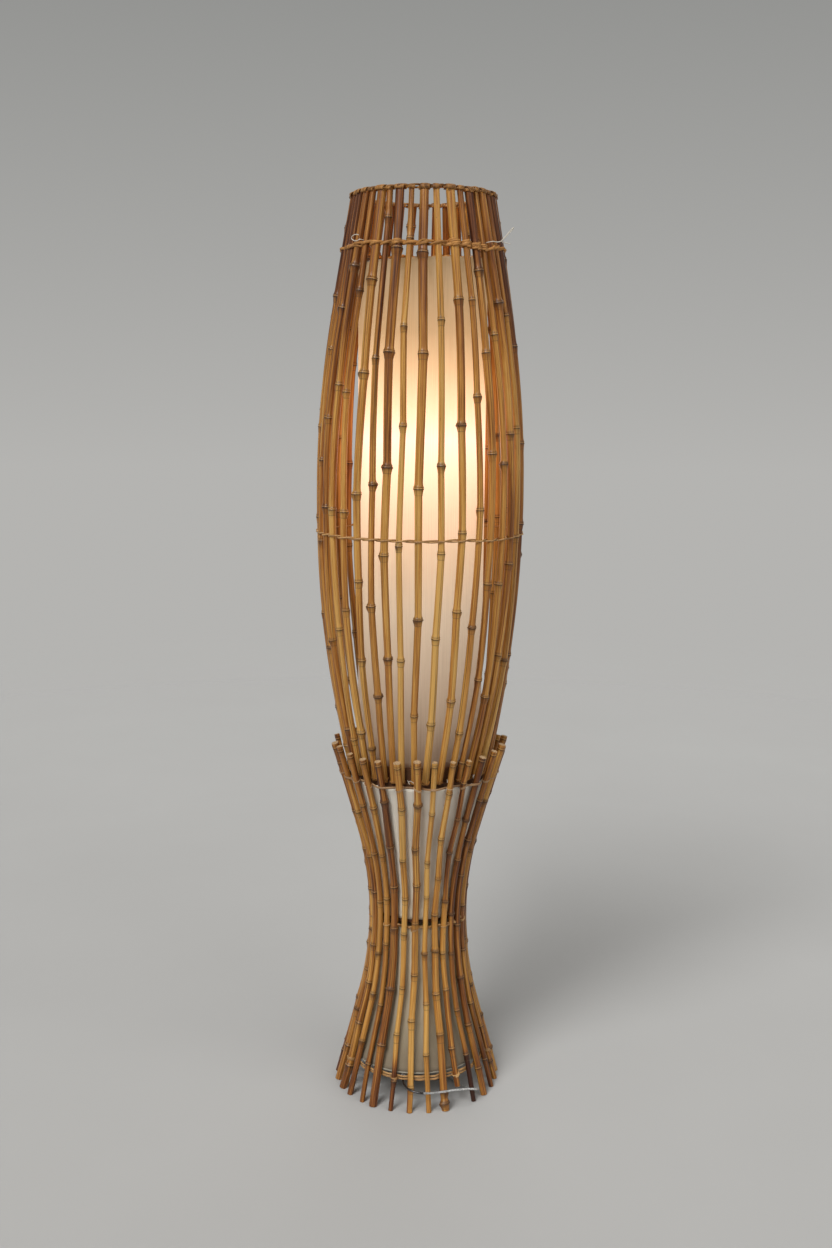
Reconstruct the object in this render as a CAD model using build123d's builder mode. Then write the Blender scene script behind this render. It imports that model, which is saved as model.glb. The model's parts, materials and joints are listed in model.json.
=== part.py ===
from build123d import *
import os
from math import asin, atan, atan2, cos, degrees, pi, radians, sin, tan

# Bamboo basket floor lamp. A waisted stand of bent canes holds a barrel-shaped basket of canes
# round a lit cloth cylinder. Millimetres, +Z up. The origin is on the floor under the lamp's
# axis, and the front faces -Y. An azimuth is in degrees from the front, positive towards +X.

os.makedirs("parts", exist_ok=True)

GAP = 0.3  # clearance between neighbouring pieces that only touch on the real lamp

# The bowed centrelines: (distance from the axis, height) of the two ends and of the point where
# their straight stretches would meet, and the radius of the bow between them.
BASKET_FOOT, BASKET_APEX, BASKET_TOP, BASKET_BEND = (107.8, 526.5), (187.3, 910), (101.8, 1402.5), 1740
STAND_FOOT, STAND_APEX, STAND_TOP, STAND_BEND = (129.4, 0), (53.1, 287.5), (134.6, 565), 540
CANE_EXTRA = 8  # run-on at an end that is then cut level
CANES_PER_NODE = 3

# Basket canes: azimuth at the foot, belly and top, and radius. The front ones lean as drawn,
# and the rear ones stand at an even pitch.
FRONT_BASKET_CANES = [
    (-84, -84, -82, 5.2), (-75, -75, -72.5, 4.6), (-65.5, -65.4, -62.9, 5.3),
    (-56.8, -56.9, -53, 5.0), (-46.6, -47.3, -45, 4.7), (-38.4, -36.4, -35.2, 5.2),
    (-28.7, -27.6, -28, 4.6), (-20.8, -19.2, -19.2, 5.5), (-14, -11.4, -9.6, 4.4),
    (-3.8, -1.1, 0.6, 5.5), (5, 10.6, 9.9, 4.7), (16.4, 22.5, 21.4, 5.4),
    (26, 33, 30, 4.6), (34, 41.5, 38.4, 5.0), (42.5, 51.5, 46, 4.5), (50.5, 60, 54, 5.0),
    (60, 69, 63.5, 4.6), (68, 79, 72, 5.2), (77, 90, 81, 5.0),
]
REAR_BASKET_CANES = 19
REAR_BASKET_RADII = (4.7, 5.4, 4.9)

# Stand canes: azimuth at the foot and crown, radius, height of the foot's end, height of the top.
FRONT_STAND_CANES = [
    (-80, -77, 5.0, 0, 570), (-66.7, -65, 5.0, 0, 572), (-55.5, -51.8, 4.5, 0, 567),
    (-41.8, -39.7, 4.4, 0, 564), (-32, -27.7, 5.0, 0, 565), (-18.3, -14.3, 4.7, 0, 566),
    (-4.8, -1.3, 5.1, 0, 569), (8.8, 10, 4.2, 0, 568), (20.9, 22.4, 4.7, 0, 566),
    (32.4, 34.3, 4.1, 31, 565), (45, 46, 4.4, 0, 566), (57.1, 58.3, 5.0, 0, 570),
    (70, 70.5, 4.8, 0, 574),
]
REAR_STAND_CANES = 16
REAR_STAND_RADII = (4.8, 4.4, 5.0, 4.6)
REAR_STAND_TOPS = (570, 564, 573, 567, 561)

BASKET_CANE_MAX = 5.5
STAND_CANE_MAX = 5.1

# Bindings: height, and the radius of one strand.
NECK_BINDING, BELLY_BINDING, CROWN_BINDING = (1323, 1.7), (902, 1.1), (522.5, 1.2)
WAIST_BINDING, FOOT_BINDING = (282, 1.5), (49.2, 2.0)
RIM_TOP = 1407
RIM_PLATE = 4
RIM_PLATE_WIDTH = 7
RIM_STRAND = 1.5
RIM_STRAND_HEIGHT = 1396

# Discs
COLLAR_DISC_TOP, COLLAR_DISC_THICKNESS, COLLAR_DISC_RADIUS = 526, 18, 105
FOOT_DISC_THICKNESS, FOOT_DISC_RADIUS, FOOT_DISC_HOLE = 22.5, 100.5, 48
WAIST_DISC_BOTTOM, WAIST_DISC_THICKNESS, WAIST_DISC_RADIUS = 287.5, 19, 66
DISC_EDGE = 1.5

# Diffuser
DIFFUSER_RADIUS, DIFFUSER_TOP, DIFFUSER_THICKNESS = 98, 1306, 0.8
HOOP_WIRE = 1.5
TIE_WIRE = 0.6
TIE_AZIMUTHS = (-49.9, 52.1, 137, 226)

# Liners inside the stand
LINER_INSET, LINER_THICKNESS = 7.6, 0.8
UPPER_LINER = (307.5, 520.5)
LOWER_LINER = (56.5, 273)
LINER_RIM_WIRE = 1.5

# Pole, lampholder and bulb
POLE_RADIUS, POLE_BORE = 5, 4
POLE_BOTTOM, POLE_TOP = 496, 968
NUT_SIZE, NUT_THICKNESS = 8.1, 4
WASHER_RADIUS, WASHER_THICKNESS = 11, 1.2
HOLDER_BOTTOM, HOLDER_SPLIT, HOLDER_TOP = 962, 984, 1018
HOLDER_RADIUS, HOLDER_WALL = 18.5, 1.6
SLEEVE_OUTER, SLEEVE_INNER = 14.6, 14.0
CAP_CREST, CAP_ROOT, THREAD_PITCH, THREAD_TURNS = 13.3, 12.5, 3.6, 6
CAP_BOTTOM = 984
BULB_CENTRE, BULB_RADIUS, BULB_NECK, BULB_WALL = 1063, 30, 12.2, 0.8
NECK_STRAIGHT, NECK_ANGLE = 5, 38

# Flex
FLEX_RADIUS = 1.7
LEAD_ROUTE = [(0, 0, 496), (0, 0, 240), (-10, -36, 118), (-21.4, -80, 48), (-21.6, -97.6, 45.5)]
RUN_ROUTE = [
    (-21.6, -97.6, 45.5), (-21.7, -107, 44.2), (-20.8, -117, 42.8), (-15.5, -128, 41), (-4.5, -136, 38.8),
    (9.5, -138.2, 37.6), (25, -136.6, 37.4), (42, -132.3, 37.6), (55, -127, 37), (67.5, -120.5, 35),
    (79.5, -112, 31.5), (90, -101.5, 26), (96.5, -90.5, 19.5), (97, -79, 13.5), (91.5, -68, 8.4),
    (82.5, -56.5, 4.4), (72, -44, 2), (60, -29, 1.8), (50, -9, 1.8), (44.5, 14, 1.8),
    (44, 39, 1.8), (47.5, 64, 1.8), (54, 88, 1.8), (62.5, 110.5, 1.8), (70.5, 128, 1.8),
    (73.5, 142, 1.8), (69, 155, 2), (59, 163, 3), (47.5, 165.6, 5), (38, 165.5, 6.2),
]
LINK_ROUTE = [(-14, 165.5, 6.2), (-22, 165.2, 5), (-30, 165.5, 3), (-38, 166.3, 1.9)]
TAIL_ROUTE = [
    (-38, 206.8, 12.3), (-27, 208.3, 11.6), (-16.5, 208.6, 9.2), (-6, 208, 6.9), (4, 208, 6.9),
]
COIL_CENTRE, COIL_MEAN, COIL_STEP = (-46, 186.2), 17, 3.5
COIL_LAYERS, COIL_COLUMNS = 4, 3
CLIP_RADIUS, CLIP_LENGTH, CLIP_STEM = 3.4, 9, 1.2

# Inline switch, along X
SWITCH_CENTRE, SWITCH_LENGTH, SWITCH_WIDTH = (12, 165.5), 52, 24
SWITCH_SPLIT, SWITCH_TOP, SWITCH_WALL = 7, 16, 1.8
ROCKER_LENGTH, ROCKER_WIDTH, ROCKER_TILT = 19, 10, 6
ROCKER_AXIS_HEIGHT = 12.5
SCREW_HEAD, SCREW_OFFSET = 2.2, 21

# Two-pin plug, along X
PLUG_START, PLUG_Y, PLUG_HEIGHT = 4, 208, 6.9
RELIEF_LENGTH, PLUG_LENGTH = 18, 34
PLUG_BACK, PLUG_FRONT, PLUG_THICKNESS = 16, 35, 13.6
PIN_RADIUS, PIN_LENGTH, PIN_SPACING = 2, 19, 18.6


def around(radius, azimuth, height):
    """The point this far from the axis, at this azimuth and height."""
    turn = radians(azimuth)
    return Vector(radius * sin(turn), -radius * cos(turn), height)


def save(part, name):
    part.label = name
    export_step(part, f"parts/{name}.step")


def bow_radius(foot, apex, top, bend, height):
    """Distance of a bowed centreline from the axis at this height."""
    lower = atan((apex[0] - foot[0]) / (apex[1] - foot[1]))
    upper = atan((top[0] - apex[0]) / (top[1] - apex[1]))
    outward = 1 if lower > upper else -1
    tangent = bend * tan(abs(upper - lower) / 2)
    start, end = apex[1] - tangent * cos(lower), apex[1] + tangent * cos(upper)
    if height <= start:
        return apex[0] - (apex[1] - height) * tan(lower)
    if height >= end:
        return apex[0] + (height - apex[1]) * tan(upper)
    lean = asin(sin(lower) - outward * (height - start) / bend)
    return apex[0] - tangent * sin(lower) + outward * bend * (cos(lean) - cos(lower))


def basket_line(height):
    return bow_radius(BASKET_FOOT, BASKET_APEX, BASKET_TOP, BASKET_BEND, height)


def stand_line(height):
    return bow_radius(STAND_FOOT, STAND_APEX, STAND_TOP, STAND_BEND, height)


def beyond(end, inner, extra):
    """The end point moved on, away from the inner one."""
    return end + (end - inner).normalized() * extra


def round_rod(points, bends, radius):
    """A round rod along straight runs joined by tangent arcs."""
    with BuildPart() as rod:
        with BuildLine():
            path = FilletPolyline(*points, radius=bends)
        with BuildSketch(Plane(origin=path @ 0, z_dir=path % 0)):
            Circle(radius)
        sweep()
    return rod.part


def cut_level(rod, bottom, top):
    """The rod with its ends cut level at these heights; None leaves an end as it is."""
    with BuildPart() as piece:
        add(rod)
        if bottom is not None:
            split(bisect_by=Plane.XY.offset(bottom), keep=Keep.TOP)
        if top is not None:
            split(bisect_by=Plane.XY.offset(top), keep=Keep.BOTTOM)
    return piece.part


def save_in_groups(canes, prefix):
    """Neighbouring canes share a node, each as its own solid."""
    for first in range(0, len(canes), CANES_PER_NODE):
        with BuildPart() as group:
            for piece in canes[first : first + CANES_PER_NODE]:
                add(piece)
        save(group.part, f"{prefix}_{first // CANES_PER_NODE + 1:02d}")


# ---- Basket canes
def basket_cane(foot_turn, belly_turn, top_turn, radius):
    ends_turn = (foot_turn + top_turn) / 2
    # The bow rounds off part of the apex, so the apex turns further than the belly.
    apex_turn = ends_turn + (belly_turn - ends_turn) * 1.33
    foot = around(BASKET_FOOT[0], foot_turn, BASKET_FOOT[1])
    apex = around(BASKET_APEX[0], apex_turn, BASKET_APEX[1])
    top = around(BASKET_TOP[0], top_turn, BASKET_TOP[1])
    path = [beyond(foot, apex, CANE_EXTRA), apex, beyond(top, apex, CANE_EXTRA)]
    return cut_level(round_rod(path, BASKET_BEND, radius), BASKET_FOOT[1], BASKET_TOP[1])


first_front, last_front = FRONT_BASKET_CANES[0], FRONT_BASKET_CANES[-1]
basket_places = list(FRONT_BASKET_CANES)
for rear in range(1, REAR_BASKET_CANES + 1):
    share = rear / (REAR_BASKET_CANES + 1)
    turns = [last_front[k] + (first_front[k] + 360 - last_front[k]) * share for k in range(3)]
    basket_places.append((*turns, REAR_BASKET_RADII[rear % len(REAR_BASKET_RADII)]))
save_in_groups([basket_cane(*place) for place in basket_places], "basket_canes")


# ---- Stand canes
def stand_cane(foot_turn, top_turn, radius, foot_end, top_end):
    foot = around(STAND_FOOT[0], foot_turn, STAND_FOOT[1])
    apex = around(STAND_APEX[0], (foot_turn + top_turn) / 2, STAND_APEX[1])
    top = around(STAND_TOP[0], top_turn, STAND_TOP[1])
    top = apex + (top - apex) * ((top_end - STAND_APEX[1]) / (STAND_TOP[1] - STAND_APEX[1]))
    path = [beyond(foot, apex, CANE_EXTRA), apex, top]
    return cut_level(round_rod(path, STAND_BEND, radius), foot_end, None)


first_front, last_front = FRONT_STAND_CANES[0], FRONT_STAND_CANES[-1]
stand_places = list(FRONT_STAND_CANES)
for rear in range(1, REAR_STAND_CANES + 1):
    share = rear / (REAR_STAND_CANES + 1)
    turns = [last_front[k] + (first_front[k] + 360 - last_front[k]) * share for k in range(2)]
    radius = REAR_STAND_RADII[rear % len(REAR_STAND_RADII)]
    stand_places.append((*turns, radius, 0, REAR_STAND_TOPS[rear % len(REAR_STAND_TOPS)]))
save_in_groups([stand_cane(*place) for place in stand_places], "stand_canes")


# ---- Bindings
def ring(major, minor, height):
    with BuildPart(Plane.XY.offset(height)) as hoop:
        Torus(major, minor)
    return hoop.part


def hoop_radii(line, cane_max, strand):
    reach = cane_max * 1.05 + GAP + strand
    return line + reach, line - reach


for name, (height, strand), line, cane_max in [
    ("neck_binding", NECK_BINDING, basket_line, BASKET_CANE_MAX),
    ("belly_binding", BELLY_BINDING, basket_line, BASKET_CANE_MAX),
    ("waist_binding", WAIST_BINDING, stand_line, STAND_CANE_MAX),
    ("foot_binding", FOOT_BINDING, stand_line, STAND_CANE_MAX),
    ("crown_binding", CROWN_BINDING, stand_line, STAND_CANE_MAX),
]:
    outer, inner = hoop_radii(line(height), cane_max, strand)
    with BuildPart() as binding:
        add(ring(outer, strand, height))
        if name not in ("crown_binding", "belly_binding"):
            add(ring(inner, strand, height))
    save(binding.part, name)

rim_line = basket_line(RIM_STRAND_HEIGHT)
rim_outer, rim_inner = hoop_radii(rim_line, BASKET_CANE_MAX, RIM_STRAND)
with BuildPart() as top_rim_binding:
    add(ring(rim_outer, RIM_STRAND, RIM_STRAND_HEIGHT))
    add(ring(rim_inner, RIM_STRAND, RIM_STRAND_HEIGHT))
    with BuildSketch(Plane.XZ):
        with Locations((BASKET_TOP[0], RIM_TOP - RIM_PLATE / 2)):
            RectangleRounded(RIM_PLATE_WIDTH, RIM_PLATE, RIM_PLATE / 2.5)
    revolve(axis=Axis.Z)
save(top_rim_binding.part, "top_rim_binding")


# ---- Discs
def disc(radius, bottom, thickness, holes):
    """A wooden disc with eased edges. holes lists (x, y, radius)."""
    with BuildPart() as board:
        with BuildSketch(Plane.XY.offset(bottom)):
            Circle(radius)
            for x, y, bore in holes:
                with Locations((x, y)):
                    Circle(bore, mode=Mode.SUBTRACT)
        extrude(amount=thickness)
        outer_edges = board.edges().filter_by(GeomType.CIRCLE).group_by(SortBy.RADIUS)[-1]
        fillet(outer_edges, radius=DISC_EDGE)
    return board.part


collar_bottom = COLLAR_DISC_TOP - COLLAR_DISC_THICKNESS
pole_hole = (0, 0, POLE_RADIUS + GAP)
save(disc(COLLAR_DISC_RADIUS, collar_bottom, COLLAR_DISC_THICKNESS, [pole_hole]), "collar_disc")
foot_hole = (0, 0, FOOT_DISC_HOLE)
save(disc(FOOT_DISC_RADIUS, COLLAR_DISC_TOP, FOOT_DISC_THICKNESS, [foot_hole]), "basket_foot_disc")
save(disc(WAIST_DISC_RADIUS, WAIST_DISC_BOTTOM, WAIST_DISC_THICKNESS, [pole_hole]), "waist_disc")

# ---- Diffuser with its two wire hoops and the ties that hold it to the neck binding
diffuser_bottom = COLLAR_DISC_TOP + FOOT_DISC_THICKNESS
with BuildPart() as diffuser:
    with BuildSketch(Plane.XY.offset(diffuser_bottom)):
        Circle(DIFFUSER_RADIUS)
        Circle(DIFFUSER_RADIUS - DIFFUSER_THICKNESS, mode=Mode.SUBTRACT)
    extrude(amount=DIFFUSER_TOP - diffuser_bottom)
save(diffuser.part, "diffuser")

hoop_major = DIFFUSER_RADIUS - DIFFUSER_THICKNESS - GAP / 3 - HOOP_WIRE
with BuildPart() as diffuser_hoops:
    add(ring(hoop_major, HOOP_WIRE, DIFFUSER_TOP - 4))
    add(ring(hoop_major, HOOP_WIRE, diffuser_bottom + HOOP_WIRE + GAP))
save(diffuser_hoops.part, "diffuser_hoops")

neck_height, neck_strand = NECK_BINDING
neck_outer, neck_inner = hoop_radii(basket_line(neck_height), BASKET_CANE_MAX, neck_strand)
tie_level = neck_height + neck_strand + TIE_WIRE + GAP
tie_out = neck_outer + neck_strand + TIE_WIRE + GAP
with BuildPart() as tie_wires:
    for turn in TIE_AZIMUTHS:
        places = [
            (DIFFUSER_RADIUS + TIE_WIRE + GAP, DIFFUSER_TOP - 8),
            (DIFFUSER_RADIUS + TIE_WIRE + GAP, tie_level),
            (tie_out, tie_level),
            (tie_out, neck_height - 5),
        ]
        add(round_rod([around(r, turn, z) for r, z in places], 1.5, TIE_WIRE))
save(tie_wires.part, "tie_wires")


# ---- Cloth liners inside the stand
def liner(bottom, top):
    """A thin cloth skin close inside the stand's canes."""
    line = [(r - LINER_INSET, z) for r, z in (STAND_FOOT, STAND_APEX, STAND_TOP)]
    with BuildPart() as skin:
        with BuildSketch(Plane.XZ):
            with BuildLine():
                FilletPolyline(*line, radius=STAND_BEND)
                offset(amount=LINER_THICKNESS, side=Side.LEFT)
            make_face()
        revolve(axis=Axis.Z)
        split(bisect_by=Plane.XY.offset(bottom), keep=Keep.TOP)
        split(bisect_by=Plane.XY.offset(top), keep=Keep.BOTTOM)
    return skin.part


save(liner(*UPPER_LINER), "upper_liner")
save(liner(*LOWER_LINER), "lower_liner")
rim_radius = stand_line(LOWER_LINER[0]) - LINER_INSET - LINER_THICKNESS / 2
save(ring(rim_radius, LINER_RIM_WIRE, LOWER_LINER[0] - LINER_RIM_WIRE - GAP / 3), "liner_rim")

# ---- Threaded pole with its nuts and washers
with BuildPart() as lamp_pole:
    with BuildSketch(Plane.XY.offset(POLE_BOTTOM)):
        Circle(POLE_RADIUS)
        Circle(POLE_BORE, mode=Mode.SUBTRACT)
    extrude(amount=POLE_TOP - POLE_BOTTOM)
save(lamp_pole.part, "lamp_pole")

nut_bore = POLE_RADIUS + 0.05
with BuildPart() as pole_nuts:
    for base in (collar_bottom - NUT_THICKNESS - WASHER_THICKNESS, COLLAR_DISC_TOP + WASHER_THICKNESS):
        with BuildSketch(Plane.XY.offset(base)):
            RegularPolygon(NUT_SIZE, 6)
            Circle(nut_bore, mode=Mode.SUBTRACT)
        extrude(amount=NUT_THICKNESS)
    with BuildSketch(Plane.XY.offset(HOLDER_BOTTOM - NUT_THICKNESS)):
        RegularPolygon(NUT_SIZE, 6)
        Circle(nut_bore, mode=Mode.SUBTRACT)
    extrude(amount=NUT_THICKNESS)
save(pole_nuts.part, "pole_nuts")

with BuildPart() as pole_washers:
    for base in (collar_bottom - WASHER_THICKNESS, COLLAR_DISC_TOP):
        with BuildSketch(Plane.XY.offset(base)):
            Circle(WASHER_RADIUS)
            Circle(nut_bore, mode=Mode.SUBTRACT)
        extrude(amount=WASHER_THICKNESS)
save(pole_washers.part, "pole_washers")

# ---- Lampholder
with BuildPart() as holder_cap:
    with BuildSketch(Plane.XY.offset(HOLDER_BOTTOM)):
        Circle(HOLDER_RADIUS)
    extrude(amount=HOLDER_SPLIT - HOLDER_BOTTOM)
    fillet(holder_cap.edges().sort_by(Axis.Z)[0], radius=6)
    with BuildSketch(Plane.XY.offset(HOLDER_BOTTOM + 2.5)):
        Circle(HOLDER_RADIUS - HOLDER_WALL - 2)
    extrude(amount=HOLDER_SPLIT, mode=Mode.SUBTRACT)
    with BuildSketch(Plane.XY.offset(HOLDER_BOTTOM)):
        Circle(nut_bore)
    extrude(amount=HOLDER_WALL * 2, mode=Mode.SUBTRACT)
save(holder_cap.part, "holder_cap")

with BuildPart() as holder_shell:
    with BuildSketch(Plane.XY.offset(HOLDER_SPLIT)):
        Circle(HOLDER_RADIUS)
        Circle(HOLDER_RADIUS - HOLDER_WALL, mode=Mode.SUBTRACT)
    extrude(amount=HOLDER_TOP - HOLDER_SPLIT)
    for rib in range(3):
        with BuildSketch(Plane.XY.offset(HOLDER_SPLIT + 6 + 9 * rib)):
            Circle(HOLDER_RADIUS + 0.8)
            Circle(HOLDER_RADIUS, mode=Mode.SUBTRACT)
        extrude(amount=2)
save(holder_shell.part, "holder_shell")

insert_bottom, insert_top = POLE_TOP + 1, CAP_BOTTOM - 6
with BuildPart() as holder_insert:
    with BuildSketch(Plane.XY.offset(insert_bottom)):
        Circle(HOLDER_RADIUS - HOLDER_WALL - 2 - GAP)
    extrude(amount=insert_top - insert_bottom)
    with BuildSketch(Plane.XY.offset(insert_top)):
        Circle(HOLDER_RADIUS - HOLDER_WALL - 2 - GAP)
        Circle(SLEEVE_OUTER - 0.1, mode=Mode.SUBTRACT)
    extrude(amount=3)
save(holder_insert.part, "holder_insert")

with BuildPart() as holder_contacts:
    with BuildSketch(Plane.XY.offset(insert_top)):
        Circle(SLEEVE_OUTER - 0.2)
        Circle(SLEEVE_INNER - 0.2, mode=Mode.SUBTRACT)
    extrude(amount=28)
    with BuildSketch(Plane.XY.offset(insert_top)):
        Rectangle(10, 4)
    extrude(amount=1)
    with BuildSketch(Plane.XY.offset(insert_top + 1)):
        Circle(2)
    extrude(amount=1)
save(holder_contacts.part, "holder_contacts")

# ---- Bulb: screw cap and glass
cap_top = CAP_BOTTOM + THREAD_PITCH * THREAD_TURNS
with BuildPart() as bulb_cap:
    with BuildSketch(Plane.XZ):
        with BuildLine():
            outline = [(0, CAP_BOTTOM - 3.5), (4, CAP_BOTTOM - 3.5), (5.5, CAP_BOTTOM - 2)]
            outline.append((11, CAP_BOTTOM))
            for thread in range(THREAD_TURNS):
                level = CAP_BOTTOM + thread * THREAD_PITCH
                outline += [(CAP_ROOT, level + 0.4), (CAP_CREST, level + THREAD_PITCH / 2)]
            outline += [(CAP_ROOT, cap_top), (CAP_CREST, cap_top + 1)]
            outline += [(CAP_CREST, cap_top + 6), (0, cap_top + 6)]
            Polyline(*outline, close=True)
        make_face()
    revolve(axis=Axis.Z)
save(bulb_cap.part, "bulb_cap")


def envelope(radius, neck, bottom):
    """A round bulb from its neck to its crown, filled."""
    turn = radians(NECK_ANGLE)
    swell = (radius * cos(turn), BULB_CENTRE - radius * sin(turn))
    neck_top = (neck, bottom + NECK_STRAIGHT)
    with BuildPart() as shape:
        with BuildSketch(Plane.XZ):
            with BuildLine():
                Polyline((0, BULB_CENTRE + radius), (0, bottom), (neck, bottom), neck_top)
                Spline(neck_top, swell, tangents=((0, 1), (sin(turn), cos(turn))))
                CenterArc((0, BULB_CENTRE), radius, -NECK_ANGLE, 90 + NECK_ANGLE)
            make_face()
        revolve(axis=Axis.Z)
    return shape.part


glass_bottom = cap_top + 6
outer_glass = envelope(BULB_RADIUS, BULB_NECK, glass_bottom)
inner_glass = envelope(BULB_RADIUS - BULB_WALL, BULB_NECK - BULB_WALL, glass_bottom)
with BuildPart() as bulb_glass:
    add(outer_glass)
    add(inner_glass, mode=Mode.SUBTRACT)
save(bulb_glass.part, "bulb_glass")


# ---- Flex
def flex_bends(points):
    """As large an arc at each corner as its two runs allow, and each arc's radius."""
    bends = []
    for before, corner, after in zip(points, points[1:], points[2:]):
        back, on = Vector(*corner) - Vector(*before), Vector(*after) - Vector(*corner)
        half_turn = radians(back.get_angle(on)) / 2
        bends.append(0.45 * min(back.length, on.length) / tan(half_turn))
    return bends


def flex_tube(points, name):
    bends = flex_bends(points)
    tube = round_rod(points, bends, FLEX_RADIUS)
    with BuildLine():
        length = FilletPolyline(*points, radius=bends).length
    fill = tube.volume / (length * pi * FLEX_RADIUS**2)
    print(f"{name}: {length:.1f} mm, tightest bend {min(bends):.1f}, volume as expected x {fill:.4f}")
    save(tube, name)
    return length


flex_tube(LEAD_ROUTE, "inner_lead")
free_length = flex_tube(RUN_ROUTE, "flex_run")
free_length += flex_tube(LINK_ROUTE, "flex_link")
free_length += flex_tube(TAIL_ROUTE, "flex_tail")

coil_height = FLEX_RADIUS * 2 + COIL_STEP * (COIL_LAYERS - 1)
coil_width = FLEX_RADIUS * 2 + COIL_STEP * (COIL_COLUMNS - 1)
with BuildPart() as flex_coil:
    with BuildSketch(Plane.XZ):
        with Locations((COIL_MEAN, coil_height / 2)):
            RectangleRounded(coil_width, coil_height, FLEX_RADIUS)
    revolve(axis=Axis.Z)
save(flex_coil.part.moved(Location((*COIL_CENTRE, 0))), "flex_coil")
coiled = 2 * pi * COIL_MEAN * COIL_COLUMNS * COIL_LAYERS
print(f"free flex in all: {free_length + coiled + SWITCH_LENGTH:.0f} mm, {coiled:.0f} of it coiled")

lead_end, lead_before = Vector(*LEAD_ROUTE[-1]), Vector(*LEAD_ROUTE[-2])
clip_plane = Plane(origin=lead_end, z_dir=lead_before - lead_end)
stem_foot = lead_end + (lead_before - lead_end).normalized() * 3 + Vector(0, 0, CLIP_RADIUS - 0.8)
rim_azimuth = degrees(atan2(lead_end.X, -lead_end.Y))
rim_wire = around(rim_radius, rim_azimuth, LOWER_LINER[0] - LINER_RIM_WIRE - GAP / 3)
stem = rim_wire - stem_foot
with BuildPart() as flex_clip:
    with BuildSketch(clip_plane):
        Circle(CLIP_RADIUS)
        Circle(FLEX_RADIUS + 0.05, mode=Mode.SUBTRACT)
    extrude(amount=CLIP_LENGTH)
    with BuildSketch(Plane(origin=stem_foot, z_dir=stem)):
        Circle(CLIP_STEM)
    extrude(amount=stem.length - LINER_RIM_WIRE - GAP / 3)
save(flex_clip.part, "flex_clip")

# ---- Inline switch
switch_x, switch_y = SWITCH_CENTRE
switch_inside = (SWITCH_LENGTH - 2 * SWITCH_WALL - 6, SWITCH_WIDTH - 2 * SWITCH_WALL)


def switch_half(bottom, top, hollow_bottom, hollow_top):
    """One half of the rounded housing, hollow between the two levels."""
    with BuildPart() as half:
        with BuildSketch(Plane((switch_x, switch_y, bottom))):
            RectangleRounded(SWITCH_LENGTH, SWITCH_WIDTH, 7)
        extrude(amount=top - bottom)
        with BuildSketch(Plane((switch_x, switch_y, hollow_bottom))):
            RectangleRounded(*switch_inside, 3)
        extrude(amount=hollow_top - hollow_bottom, mode=Mode.SUBTRACT)
    return half.part


screw_places = [(switch_x - SCREW_OFFSET, switch_y), (switch_x + SCREW_OFFSET, switch_y)]
base_half = switch_half(0, SWITCH_SPLIT, SWITCH_WALL, SWITCH_SPLIT)
cover_half = switch_half(SWITCH_SPLIT, SWITCH_TOP, SWITCH_SPLIT, SWITCH_TOP - SWITCH_WALL)
with BuildPart() as switch_base:
    add(base_half)
    fillet(switch_base.faces().sort_by(Axis.Z)[0].outer_wire().edges(), radius=1.5)
save(switch_base.part, "switch_base")

with BuildPart() as switch_cover:
    add(cover_half)
    fillet(switch_cover.faces().sort_by(Axis.Z)[-1].outer_wire().edges(), radius=2.5)
    with BuildSketch(Plane((switch_x, switch_y, SWITCH_TOP - SWITCH_WALL - 1))):
        Rectangle(ROCKER_LENGTH + 2.4, ROCKER_WIDTH + 1.2)
    extrude(amount=SWITCH_WALL + 2, mode=Mode.SUBTRACT)
    for place in screw_places:
        with BuildSketch(Plane((*place, SWITCH_TOP - 1.2))):
            Circle(SCREW_HEAD + 0.3)
        extrude(amount=2, mode=Mode.SUBTRACT)
save(switch_cover.part, "switch_cover")

with BuildPart() as switch_screws:
    for place in screw_places:
        with BuildSketch(Plane((*place, SWITCH_TOP - 1.2))):
            Circle(SCREW_HEAD)
        extrude(amount=1)
        with BuildSketch(Plane((*place, SWITCH_TOP - 0.7))):
            Rectangle(SCREW_HEAD * 2, 0.8)
        extrude(amount=1, mode=Mode.SUBTRACT)
save(switch_screws.part, "switch_screws")

rocker_side = (switch_x, switch_y + ROCKER_WIDTH / 2, ROCKER_AXIS_HEIGHT)
rocker_plane = Plane(rocker_side, z_dir=(0, -1, 0), x_dir=(1, 0, 0))
with BuildPart() as upright_rocker:
    with BuildSketch(rocker_plane):
        with BuildLine():
            left, right = (-ROCKER_LENGTH / 2, 1), (ROCKER_LENGTH / 2, 1)
            Polyline((-ROCKER_LENGTH / 2, 4.6), left, (0, -2.5), right, (ROCKER_LENGTH / 2, 4.6))
            ThreePointArc((ROCKER_LENGTH / 2, 4.6), (0, 3.6), (-ROCKER_LENGTH / 2, 4.6))
        make_face()
    extrude(amount=ROCKER_WIDTH)
rocker_axis = Axis((switch_x, switch_y, ROCKER_AXIS_HEIGHT), (0, 1, 0))
save(upright_rocker.part.rotate(rocker_axis, -ROCKER_TILT), "switch_rocker")

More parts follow.
